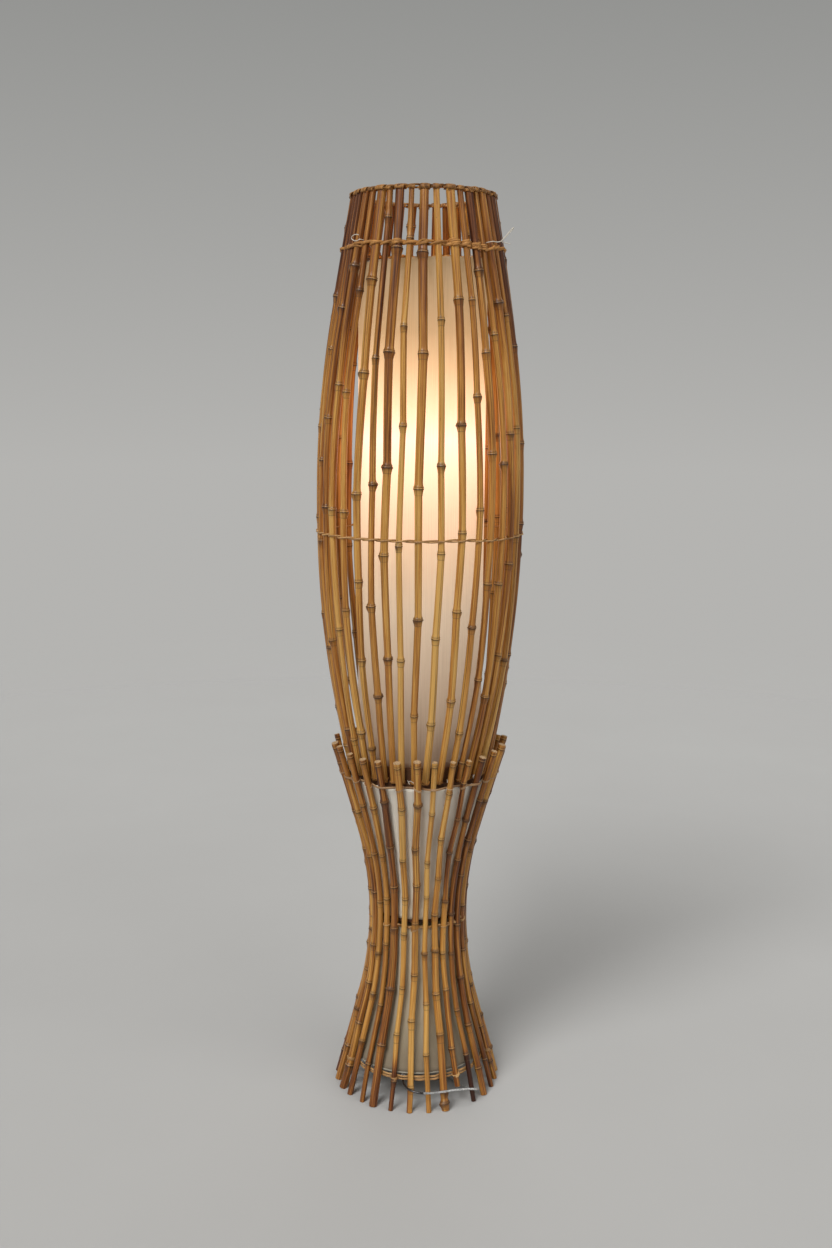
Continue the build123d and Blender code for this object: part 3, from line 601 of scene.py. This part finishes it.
class Cane:
    """One bamboo cane round a CAD rod: its taper, its nodes and the kink at each."""

    def __init__(self, rod, draw, thick_low, thick_high, tone, habit):
        self.rod, self.low, self.high, self.habit = rod, rod[0][0], rod[-1][0], habit
        self.thick_low, self.thick_high, self.tone = thick_low, thick_high, tone
        self.nodes, height = [], self.low + draw.uniform(0.03, habit.spacing[1])
        while height < self.high - 0.02:
            self.nodes.append(height)
            height += draw.uniform(*habit.spacing)
        self.shift = draw.uniform(0, 5)
        self.draw = draw
        self.kinks = []

    def settle(self):
        """Draws what each node and internode looks like, once the nodes are known."""
        draw = self.draw
        self.girths = [draw.uniform(-0.07, 0.07) for _ in range(len(self.nodes) + 1)]
        self.tones = [draw.uniform(-0.15, 0.15) for _ in range(len(self.nodes) + 1)]
        self.marks = []
        kinks = [(self.low, 0.0, 0.0)]
        side = draw.choice((-1, 1))
        for height in self.nodes:
            if self.low + 0.02 < height < self.high - 0.02:
                pitch = TURN * self.centre(height).to_2d().length / self.habit.count
                room = min(0.005, pitch / 2 - self.radius(height))
                along = side * draw.uniform(*self.habit.kink) * room
                kinks.append((height, along, draw.uniform(-0.0008, 0.0005)))
                side = -side
            flare, angle = draw.uniform(*self.habit.flare), draw.uniform(0, TURN)
            self.marks.append(Mark(flare, angle, draw.uniform(*self.habit.bud), draw.random()))
        if self.nodes and self.nodes[-1] > self.high - 0.01:
            self.marks[-1] = Mark(draw.uniform(0.03, 0.08), 0.0, 0.02, 0.0)
        kinks.append((self.high, 0.0, 0.0))
        self.kinks = kinks

    def internode(self, values, height):
        """The value that belongs to the internode at a height, blended across each node."""
        value = values[0]
        for node, after in zip(self.nodes, values[1:]):
            value += (after - value) * clamp((height - node) / 0.006 + 0.5)
        return value

    def centre(self, height):
        rod = self.rod
        k = 0
        while k < len(rod) - 2 and height > rod[k + 1][0]:
            k += 1

        def slope(i, axis):
            def secant(j):
                return (rod[j + 1][axis] - rod[j][axis]) / (rod[j + 1][0] - rod[j][0])
            if i == 0 or i == len(rod) - 1:
                return secant(max(0, i - 1))
            before, after = rod[i][0] - rod[i - 1][0], rod[i + 1][0] - rod[i][0]
            return (before * secant(i) + after * secant(i - 1)) / (before + after)

        span = rod[k + 1][0] - rod[k][0]
        t = (height - rod[k][0]) / span
        place = []
        for axis in (1, 2):
            bend = slope(k, axis) * (t**3 - 2 * t**2 + t) + slope(k + 1, axis) * (t**3 - t**2)
            start = rod[k][axis] * (2 * t**3 - 3 * t**2 + 1)
            place.append(start + rod[k + 1][axis] * (3 * t**2 - 2 * t**3) + span * bend)
        for (z0, a0, b0), (z1, a1, b1) in zip(self.kinks, self.kinks[1:]):
            if z0 <= height <= z1:
                share = (height - z0) / (z1 - z0)
                along, out = a0 + (a1 - a0) * share, b0 + (b1 - b0) * share
                reach = hypot(*place)
                x, y = place
                place = [x + (-y * along + x * out) / reach, y + (x * along + y * out) / reach]
                break
        return Vector((*place, height))

    def radius(self, height):
        share = (height - self.low) / (self.high - self.low)
        even = self.thick_low + (self.thick_high - self.thick_low) * share
        return even * (1 + self.internode(self.girths, height))

    def rings(self):
        """The rings of the mesh from the bottom up: close together at the nodes, and dished at
        both cut ends."""
        steps = int((self.high - self.low) / CANE_STEP)
        heights = {self.low + (self.high - self.low) * i / steps for i in range(steps + 1)}
        for node in self.nodes:
            near = {node + offset * MM for offset in NEAR_NODE}
            heights |= {height for height in near if self.low < height < self.high}
        heights = sorted(heights)
        heights = [heights[0]] + [b for a, b in zip(heights, heights[1:]) if b - a > 0.0002]
        centres = [self.centre(height) for height in heights]
        side = Vector((1, 0, 0))
        found = []
        for i, (height, centre) in enumerate(zip(heights, centres)):
            after, before = centres[min(i + 1, len(centres) - 1)], centres[max(i - 1, 0)]
            tangent = (after - before).normalized()
            side = (side - tangent * side.dot(tangent)).normalized()
            found.append(Ring(height, centre, side.copy(), tangent.cross(side), 1.0, False))

        def dished(ring, way):
            inwards = ring.side.cross(ring.other).normalized() * way
            return [
                ring._replace(centre=ring.centre + inwards * depth, size=size, on_end=True)
                for depth, size in CUT_END
            ]

        return dished(found[0], 1)[::-1] + found + dished(found[-1], -1)

    def add_to(self, skin, level_top):
        """Adds the cane's mesh to a skin. level_top cuts the top level, not square."""
        base, rings = len(skin.points), self.rings()
        for height, centre, side, other, size, _ in rings:
            ring, mark = RING_REACH, None
            for node, found in zip(self.nodes, self.marks):
                if abs(height - node) < abs(ring):
                    ring, mark = height - node, found
            radius = self.radius(height)
            tone = self.tone(height) + self.internode(self.tones, height)
            swell, scar = 0.0, 0.0
            if mark:
                lips = bell(ring, 0.0009) + 0.85 * bell(ring - 0.0029, 0.0008)
                body = bell(ring, 0.0075 if ring < 0 else 0.0055)
                swell = mark.flare * (0.45 * lips + 0.75 * body)
            for k in range(CANE_SIDES):
                turn = TURN * k / CANE_SIDES
                x, y = cos(turn), sin(turn)
                reach = radius * (1 + swell)
                if mark:
                    facing = max(0.0, cos(turn - mark.angle)) ** 3
                    bud = facing * bell(ring + 0.002, 0.0045)
                    reach += radius * mark.bud * bud
                    scar = (0.9 if mark.rough > SCARRED else 0.25) * bud
                    if mark.rough > KNOBBLY:
                        knob = bell(ring - 0.001, 0.003)
                        scar = max(scar, 0.85 * knob)
                        waves = 0.5 + 0.5 * sin(5 * turn + height * 9000)
                        reach += radius * 0.22 * knob * waves
                reach += radius * 0.025 * lumps(x, y, height * 25 + self.shift)
                point = centre + (side * x + other * y) * reach * size
                point.z = max(point.z, self.low)
                if level_top:
                    point.z = min(point.z, self.high)
                grain = (x * radius * size + self.shift, y * radius * size, height + self.shift)
                skin.add(point, grain, tone, ring, scar)
        slots = [int(a.on_end or b.on_end) for a, b in zip(rings, rings[1:])]
        skin.join(base, len(rings), CANE_SIDES, slots)
        skin.cap(base, len(rings), CANE_SIDES, 1)


def azimuth(point):
    return degrees(atan2(point[0], -point[1]))


draw = random.Random(11)
STOUT_CANE = 0.00485
DARK_FEET, KNOBBLY_FOOT, SAME_CANE = (-18, 45), 20.9, 3  # degrees round the axis


def basket_cane(rod, radius, level, seed):
    """A cane that darkens towards the rim. The stout ones are thicker at the top."""
    low, high = (0.88, 1.24) if radius > STOUT_CANE else (1.14, 0.94)

    def tone(height):
        return level + 0.11 - 0.30 * clamp((height - 1.13) / 0.15)

    cane = Cane(rod, seed, radius * low, radius * high, tone, HABITS["basket"])
    cane.settle()
    return cane


def stand_cane(rod, radius, level, seed):
    """A cane that darkens at the crown and the foot and is cut off just above a node."""
    taper, stout = draw.uniform(-0.22, 0.22), draw.uniform(0.98, 1.16)
    foot = azimuth((rod[0][1], rod[0][2]))
    is_dark = any(abs(foot - turn) < SAME_CANE for turn in DARK_FEET)
    dark = 0.65 if is_dark else draw.uniform(0.0, 0.16)
    knobbly = abs(foot - KNOBBLY_FOOT) < SAME_CANE

    def tone(height):
        crown = 0.1 * clamp((height - 0.49) / 0.03)
        return level - crown - dark * clamp((0.085 - height) / 0.03)

    low, high = radius * stout * (1 - taper), radius * stout * (1 + taper)
    cane = Cane(rod, seed, low, high, tone, HABITS["stand"])
    cane.nodes = [n for n in cane.nodes if n < cane.high - 0.03]
    cane.nodes.append(cane.high - seed.uniform(0.005, 0.009))
    if knobbly:
        cane.nodes = [cane.low + 0.011, cane.low + 0.027] + [n for n in cane.nodes if n > 0.08]
    cane.settle()
    if knobbly:
        cane.marks[:2] = [Mark(0.22, 4.1, 0.65, 0.9), Mark(0.12, 5.4, 0.5, 0.7)]
    return cane


basket_canes, stand_canes = [], []
for node in sorted(name for name in frame["nodes"] if "_canes_" in name):
    skin = Skin()
    on_basket = node.startswith("basket")
    body, canes, grow = (
        ("basket", basket_canes, basket_cane) if on_basket else ("stand", stand_canes, stand_cane)
    )
    for rod in cad_rods(node):
        cad_radius = sorted(ring[3] for ring in rod)[len(rod) // 2]
        level = clamp(draw.gauss(0.59, 0.11), 0.4 if on_basket else 0.46, 0.88)
        seed = random.Random(draw.randint(0, 10**6))
        cane = grow(rod, cad_radius, level, seed)
        cane.add_to(skin, level_top=on_basket)
        canes.append(cane)
    slot = body + "_cane"
    name = node.replace("canes", "bamboo")
    skin.build(name, body, slot, [node], [slot, "cut_end"], radians(50))


# ---- Bindings
def sorted_round(canes, height):
    """(centre, radius) of each cane at a height, in order round the axis."""
    there = [cane for cane in canes if cane.low < height < cane.high]
    found = [(cane.centre(height), cane.radius(height)) for cane in there]
    return sorted(found, key=lambda pair: azimuth(pair[0]))


def outwards(point):
    return Vector((point.x, point.y, 0)).normalized()


def twine(
    skin, canes, level, size, seed, mess=0.0004, start=0, strands=2, wander=0.0, spread=0.95,
    inside=False,
):
    """Strands that cross in each gap, before and behind the canes by turns, or that lie inside
    them all, one over the other."""
    draw = random.Random(seed)
    ring = sorted_round(canes, level)
    ring = ring[start:] + ring[:start]

    def stray(out):
        return UP * (wander * noise.noise(out * 2.2 + UP * seed) + draw.uniform(-mess, mess))

    for strand in range(strands):
        points = []
        for i, (centre, radius) in enumerate(ring):
            ahead = ring[(i + 1) % len(ring)][0]
            side = 1 if (i + strand) % 2 == 0 and not inside else -1
            lift = UP * (1 - 2 * strand if inside else side) * size[0] * spread
            out = outwards(centre)
            shift = stray(out) + lift if inside else stray(out)
            points.append(centre + out * side * (radius + size[1] * 1.05) + shift)
            out = outwards(centre + ahead)
            shift = stray(out)
            reach = (centre.to_2d().length + ahead.to_2d().length) / 2
            reach -= 0.8 * radius if inside else 0.0
            points.append(out * reach + UP * level + lift + shift)
        closed = len(ring) % 2 == 0
        if not closed:
            points.append(points[0] + outwards(points[0]) * size[1] * 2)
        line = smooth_line(points, 7, closed)
        sizes, turns = [], []
        for i in range(len(line)):
            swell = 1 + 0.3 * lumps(i * 0.11, seed, strand * 5)
            sizes.append((size[0] * swell, size[1] * (2 - swell)))
            turns.append(0.7 * lumps(i * 0.05, seed + 9, strand * 5))
        tone = 0.5 + draw.uniform(-0.12, 0.12)
        skin.tube(line, sizes, tone, draw.uniform(0, 3), UP, closed, turns)


WRAP_POINTS = 12  # in one turn


def wrap(skin, centre, axis, radius, rounds, strand, seed, slant):
    """A strip wound round a cane."""
    draw = random.Random(seed)
    side = axis.orthogonal().normalized()
    other = axis.cross(side)
    lean, phase = draw.uniform(-slant, slant), draw.uniform(0, TURN)
    steps = int(rounds * WRAP_POINTS)
    line = []
    for i in range(steps + 1):
        turn = phase + TURN * i / WRAP_POINTS
        rise = (i / steps - 0.5) * rounds * strand[0] * 1.7
        reach = radius + strand[1] * (1 + 0.5 * lumps(i * 0.3, seed, 0))
        tilt = axis * lean * reach * cos(turn - phase)
        around = side * cos(turn) + other * sin(turn)
        line.append(centre + around * reach + axis * rise + tilt)
    tone = 0.5 + draw.uniform(-0.15, 0.15)
    skin.tube(line, strand, tone, draw.uniform(0, 3), axis)


def axis_at(cane, height):
    return (cane.centre(min(height + 0.005, cane.high)) - cane.centre(height - 0.005)).normalized()


def bind(skin, cane, at, gap, *how):
    """A wrap round a cane at a height, with a gap under it."""
    wrap(skin, cane.centre(at), axis_at(cane, at), cane.radius(at) + gap, *how)


def node_height(node):
    low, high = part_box(node)
    return (low.z + high.z) / 2


# Neck: thick twisted rope with a rougher pass over it
neck = Skin()
neck_height = node_height("neck_binding")
twine(neck, basket_canes, neck_height, (0.0021, 0.0015), 3, 0.0008, wander=0.005)
twine(neck, basket_canes, neck_height + 0.0005, (0.0014, 0.0010), 4, 0.0022, 1, 1, 0.006)
for number, cane in enumerate(basket_canes):
    knotted = 14 < azimuth(cane.centre(neck_height)) < 50
    if knotted or number % 5 == 2:
        at = neck_height + draw.uniform(-0.002, 0.002)
        rounds = draw.uniform(2.4, 3.6) if knotted else 1.6
        bind(neck, cane, at, 0.0005, rounds, (0.0016, 0.0012), number, 0.6)
neck.build("neck_rope", "basket", "rope", ["neck_binding"])

# Belly: thin two-strand twine
belly = Skin()
twine(belly, basket_canes, node_height("belly_binding"), (0.0013, 0.0010), 6, wander=0.002)
belly.build("belly_twine", "basket", "rattan", ["belly_binding"])

# Top rim: twined strands, a peel folded over each cane's end, and a strip round every fourth
rim = Skin()
rim_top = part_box("top_rim_binding")[1].z
twine(rim, basket_canes, rim_top - 0.005, (0.0016, 0.0012), 8, 0.0007)
PEEL, SKIRT = 0.0011, 0.0034  # half its thickness, and how far its ends hang down
for number, cane in enumerate(basket_canes):
    seed = random.Random(100 + number)
    end, radius = cane.centre(cane.high - 0.0005), cane.radius(cane.high)
    if number % 4 == 1:
        at = cane.high - 0.004
        axis = axis_at(cane, at)
        wrap(rim, cane.centre(at), axis, radius + 0.0003, 1.2, (0.0013, 0.0008), number, 0.4)
    out = outwards(end)
    across = out.cross(UP)
    lean = across * seed.uniform(-0.0016, 0.0016)
    crest = rim_top - cane.high - 0.001 - seed.uniform(0, 0.0016)
    arch = []
    for step in range(11):
        x, y = cos(pi * step / 10), max(0.0, sin(pi * step / 10))
        lift = y ** 0.6 * (crest + SKIRT) - SKIRT
        arch.append(end + out * x * (radius + 0.0013) + UP * lift + lean * x)
    size, tone = (radius * seed.uniform(0.95, 1.2), PEEL), seed.uniform(0.35, 0.65)
    rim.tube(arch, size, tone, seed.uniform(0, 3), across, sides=10)
rim.build("rim_weave", "basket", "rattan", ["top_rim_binding"], ["rim_peel"])

# Crown: one strip, outside every third cane and inside the others, bound to two in three
crown = Skin()
crown_height = node_height("crown_binding")
crown_line = []
for number, (centre, radius) in enumerate(sorted_round(stand_canes, crown_height)):
    side = 1 if number % 3 == 0 else -1
    crown_line.append(centre + outwards(centre) * side * (radius + 0.0008))
crown.tube(smooth_line(crown_line, 8, True), (0.0018, 0.0007), 0.32, 0.4, UP, True)
for number, cane in enumerate(stand_canes):
    if number % 3 != 1:
        at = crown_height + draw.uniform(-0.0006, 0.0006)
        rounds = draw.choice((0.9, 1.5))
        bind(crown, cane, at, 0.0, rounds, (0.0009, 0.0006), 40 + number, 0.7)
crown.build("crown_strip", "stand", "rattan", ["crown_binding"], ["pale_peel"])

# Waist: two strands inside the canes, with curled knots in the gaps, most of them on the right
waist = Skin()
waist_height = node_height("waist_binding")
twine(waist, stand_canes, waist_height, (0.0014, 0.0008), 12, 0.0007, spread=0.7, inside=True)
ring = sorted_round(stand_canes, waist_height)
for number, (centre, radius) in enumerate(ring):
    ahead = ring[(number + 1) % len(ring)][0]
    if 12 < azimuth(centre) < 110 or number % 4 == 0:
        out = outwards(centre + ahead)
        across = out.cross(UP)
        middle = (centre + ahead) / 2 + out * 0.001 + UP * draw.uniform(0.0008, 0.0034)
        size = draw.uniform(0.0022, 0.0032)
        phase = draw.uniform(0, TURN)
        curl = []
        for step in range(13):
            turn = phase + TURN * step / 7
            reach = size * (1 - step / 20)
            lean = out * sin(turn * 0.9 + phase) * size * 0.6
            around = across * cos(turn) + UP * sin(turn) * 0.8
            curl.append(middle + around * reach + lean)
        tone = draw.uniform(0.2, 0.7)
        waist.tube(smooth_line(curl, 5), (0.0011, 0.0008), tone, draw.uniform(0, 3))
for number, cane in enumerate(stand_canes):
    if number % 3 == 0:
        at = waist_height + draw.uniform(-0.0008, 0.0012)
        bind(waist, cane, at, 0.0003, 1.2, (0.0010, 0.0007), 60 + number, 0.6)
waist.build("waist_knots", "stand", "rattan", ["waist_binding"])

# Foot: two strands inside the canes, one over the other, bound to every fourth
foot = Skin()
foot_height = node_height("foot_binding")
twine(foot, stand_canes, foot_height, (0.0019, 0.0010), 15, 0.0003, spread=1.2, inside=True)
for number, cane in enumerate(stand_canes):
    if number % 4 == 1:
        at = foot_height + draw.uniform(-0.0008, 0.0008)
        bind(foot, cane, at, 0.0003, 1.4, (0.0013, 0.0009), 80 + number, 0.5)
foot.build("foot_ring", "stand", "foot_rod", ["foot_binding"], ["rattan"])


# ---- Tie wires at the neck, with free tails
def wire(skin, points, radius):
    skin.tube(smooth_line([Vector(p) for p in points], 8), (radius, radius), 0.5)


def tie(points, radius=0.0008):
    """A wire through points given as a reach, a turn in degrees and a height."""
    line = []
    for reach, turn, height in points:
        turn = radians(turn)
        line.append((reach * sin(turn), -reach * cos(turn), height))
    wire(ties, line, radius)


ties = Skin()
tie([
    (0.097, -46, 1.299), (0.1, -46, 1.312), (0.112, -46, 1.326), (0.1255, -46, 1.3295),
    (0.1285, -48, 1.3275), (0.1292, -51, 1.3285), (0.1292, -53.5, 1.332), (0.1288, -52, 1.3355),
    (0.1285, -49, 1.3365), (0.1282, -46.5, 1.3355),
], 0.00065)
tie([
    (0.097, 52, 1.299), (0.1, 52, 1.312), (0.112, 52, 1.326), (0.126, 52, 1.329),
    (0.130, 55, 1.3285), (0.133, 58.5, 1.331), (0.139, 61, 1.339), (0.1455, 62.5, 1.3475),
    (0.1475, 62, 1.3495), (0.1465, 60.8, 1.3475), (0.139, 59.3, 1.338), (0.1335, 58.3, 1.3305),
    (0.136, 60.5, 1.3285), (0.1425, 62.5, 1.327),
], 0.0007)
for turn in (137, 226):
    tie([
        (0.097, turn, 1.299), (0.1, turn, 1.312), (0.112, turn, 1.3265),
        (0.126, turn + 1, 1.329), (0.1275, turn + 3, 1.322), (0.127, turn + 5, 1.316),
    ])
ties.build("neck_ties", "basket", "white_wire", ["tie_wires"])

# Small twists of twine and wire that hold the basket canes' feet
FOOT_WIRE = (  # mm across, outwards and up
    (0, 0, 0), (3, 0, 2), (6, 1, 3.5), (8.5, 0.5, 0.5), (6.5, 0, -1.2), (9.5, 1, 4.5),
)
foot_ties, foot_wires = Skin(), Skin()
for number, cane in enumerate(basket_canes):
    at = cane.low + 0.0035
    centre, axis = cane.centre(at), axis_at(cane, cane.low + 0.008)
    wrap(foot_ties, centre, axis, cane.radius(at), 1.3, (0.0009, 0.0007), 200 + number, 0.5)
    if number % 3 == 0:
        out = outwards(centre)
        across = out.cross(UP)
        start = centre + out * (cane.radius(at) + 0.0012)
        bends = [start + (across * a + out * b + UP * c) * MM for a, b, c in FOOT_WIRE]
        wire(foot_wires, bends, 0.0006)
foot_ties.build("foot_twists", "basket", "rope")
foot_wires.build("foot_wires", "basket", "white_wire")


# ---- Cloth
CLOTH = 0.0005


def cloth_tube(name, body, slot, columns, rows, place, replaced):
    """A sheet sewn into a tube. place gives the point at a turn and at a share of its height."""
    skin = Skin()
    for row in range(rows + 1):
        for column in range(columns):
            skin.add(place(TURN * column / columns, row / rows), (0, 0, 0))
    skin.join(0, rows + 1, columns, [0] * rows)
    made = skin.build(name, body, slot, replaced)
    thick = made.modifiers.new("cloth", "SOLIDIFY")
    thick.thickness = CLOTH
    thick.offset = -1
    return made


diffuser_low, diffuser_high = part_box("diffuser")
shade_radius = diffuser_high.x


def shade_point(turn, share):
    x, y = sin(turn), -cos(turn)
    ripple = lumps(x * 3, y * 3, share * 2.5)
    reach = shade_radius - 0.0003 - 0.0007 * (0.5 + 0.5 * ripple)
    top = diffuser_high.z - 0.001 + 0.0044 * x
    top += 0.0011 * lumps(x * 40, y * 40, 3)
    return Vector((x * reach, y * reach, diffuser_low.z + (top - diffuser_low.z) * share))


shade = cloth_tube("shade_cloth", "basket", "diffuser_cloth", 220, 60, shade_point, ["diffuser"])

LINER_CLEARANCE, FOLD_DEPTH, FOLDS = 0.0067, 0.0085, 19


def liner_piece(node, name, seed, drop=0.0, rise=0.0, plain=0.0):
    """A cloth cone on the canes' inner side. It hangs below and stands above its CAD solid by
    drop and rise, and the share of its height called plain lies flat on the waist disc."""
    low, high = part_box(node)
    low.z, high.z = low.z - drop, high.z + rise

    def place(turn, share):
        height = low.z + (high.z - low.z) * share
        reaches = [hypot(c.x, c.y) for c, _ in sorted_round(stand_canes, height)]
        line = sum(reaches) / len(reaches)
        x, y = sin(turn), -cos(turn)
        drift = lumps(x * 2, y * 2, seed + share * 0.8)
        wave = 0.5 + 0.5 * sin(FOLDS * turn + 4 * drift)
        slack = sin(pi * max(0.0, share - plain) / (1 - plain)) ** 0.7
        depth = 0.35 + 0.65 * (0.5 + lumps(x * 3, y * 3, seed + 5 + share * 1.5))
        fold = FOLD_DEPTH * slack * wave * clamp(depth)
        crease = 0.0006 * lumps(x * 14, y * 14, seed + share * 9)
        reach = line - LINER_CLEARANCE - fold - abs(crease)
        return Vector((x * reach, y * reach, height))

    made = cloth_tube(name, "stand", "liner_cloth", 276, 40, place, [node])
    return made


liner_piece("upper_liner", "upper_cloth", 21, drop=0.0135, plain=0.07)
liner_piece("lower_liner", "lower_cloth", 33, rise=0.0095)

# ---- CAD nodes that stay. The hoops in the liners' hems are covered with cloth
for name, node in frame["nodes"].items():
    if not node.hide_render:
        slot = node_slots[name]
        node.data.materials.clear()
        node.data.materials.append(MATERIALS["hem_cord" if name == "liner_rim" else slot])

# ---- Floor and light
FLOOR_FADES = (1.6, 4.2)  # the reaches where the floor starts to fade and is gone
studio = Shader("studio_floor")
floor_cloud = studio.noise(studio.place(), 1.5, 3)
floor_tones = [(0.3, (0.485, 0.480, 0.465)), (0.7, (0.505, 0.500, 0.485))]
studio.finish(studio.ramp(floor_cloud, floor_tones), 0.8)
apart = studio.node("VectorMath", {0: studio.place()}, operation="LENGTH")
edge = studio.node("MixShader", {
    0: studio.span(apart.outputs["Value"], *FLOOR_FADES),
    1: studio.bsdf.outputs[0],
    2: studio.node("BsdfTransparent").outputs[0],
})
studio.fill(studio.tree.nodes["Material Output"], {"Surface": edge.outputs[0]})
bpy.ops.mesh.primitive_circle_add(vertices=96, radius=5, fill_type="NGON")
ground = bpy.context.object
ground.name = "studio_floor"
ground.data.materials.append(studio.owner)

sky = Shader("studio", world=True)
scene.world = sky.owner
parts = sky.node("SeparateXYZ", {0: sky.node("TexCoord").outputs["Generated"]})
wall = sky.ramp(sky.span(parts.outputs["Z"], -0.2, 1.0), [
    (0.125, (0.46, 0.455, 0.44)), (0.425, (0.27, 0.272, 0.264)), (0.75, (0.12, 0.12, 0.118)),
])
sky.fill(sky.tree.nodes["Background"], {"Color": wall})


def studio_light(name, turn, height, strength, spread):
    """A wide soft light from far away. The turn from the front and the height are in degrees."""
    light = bpy.data.lights.new(name, "SUN")
    light.energy, light.angle = strength, radians(spread)
    made = bpy.data.objects.new(name, light)
    scene.collection.objects.link(made)
    made.rotation_euler = (radians(90 - height), 0, radians(turn))


studio_light("key", -30, 46, 2.35, 30)
studio_light("fill", 50, 40, 0.65, 50)
studio_light("rear", 170, 35, 0.45, 60)
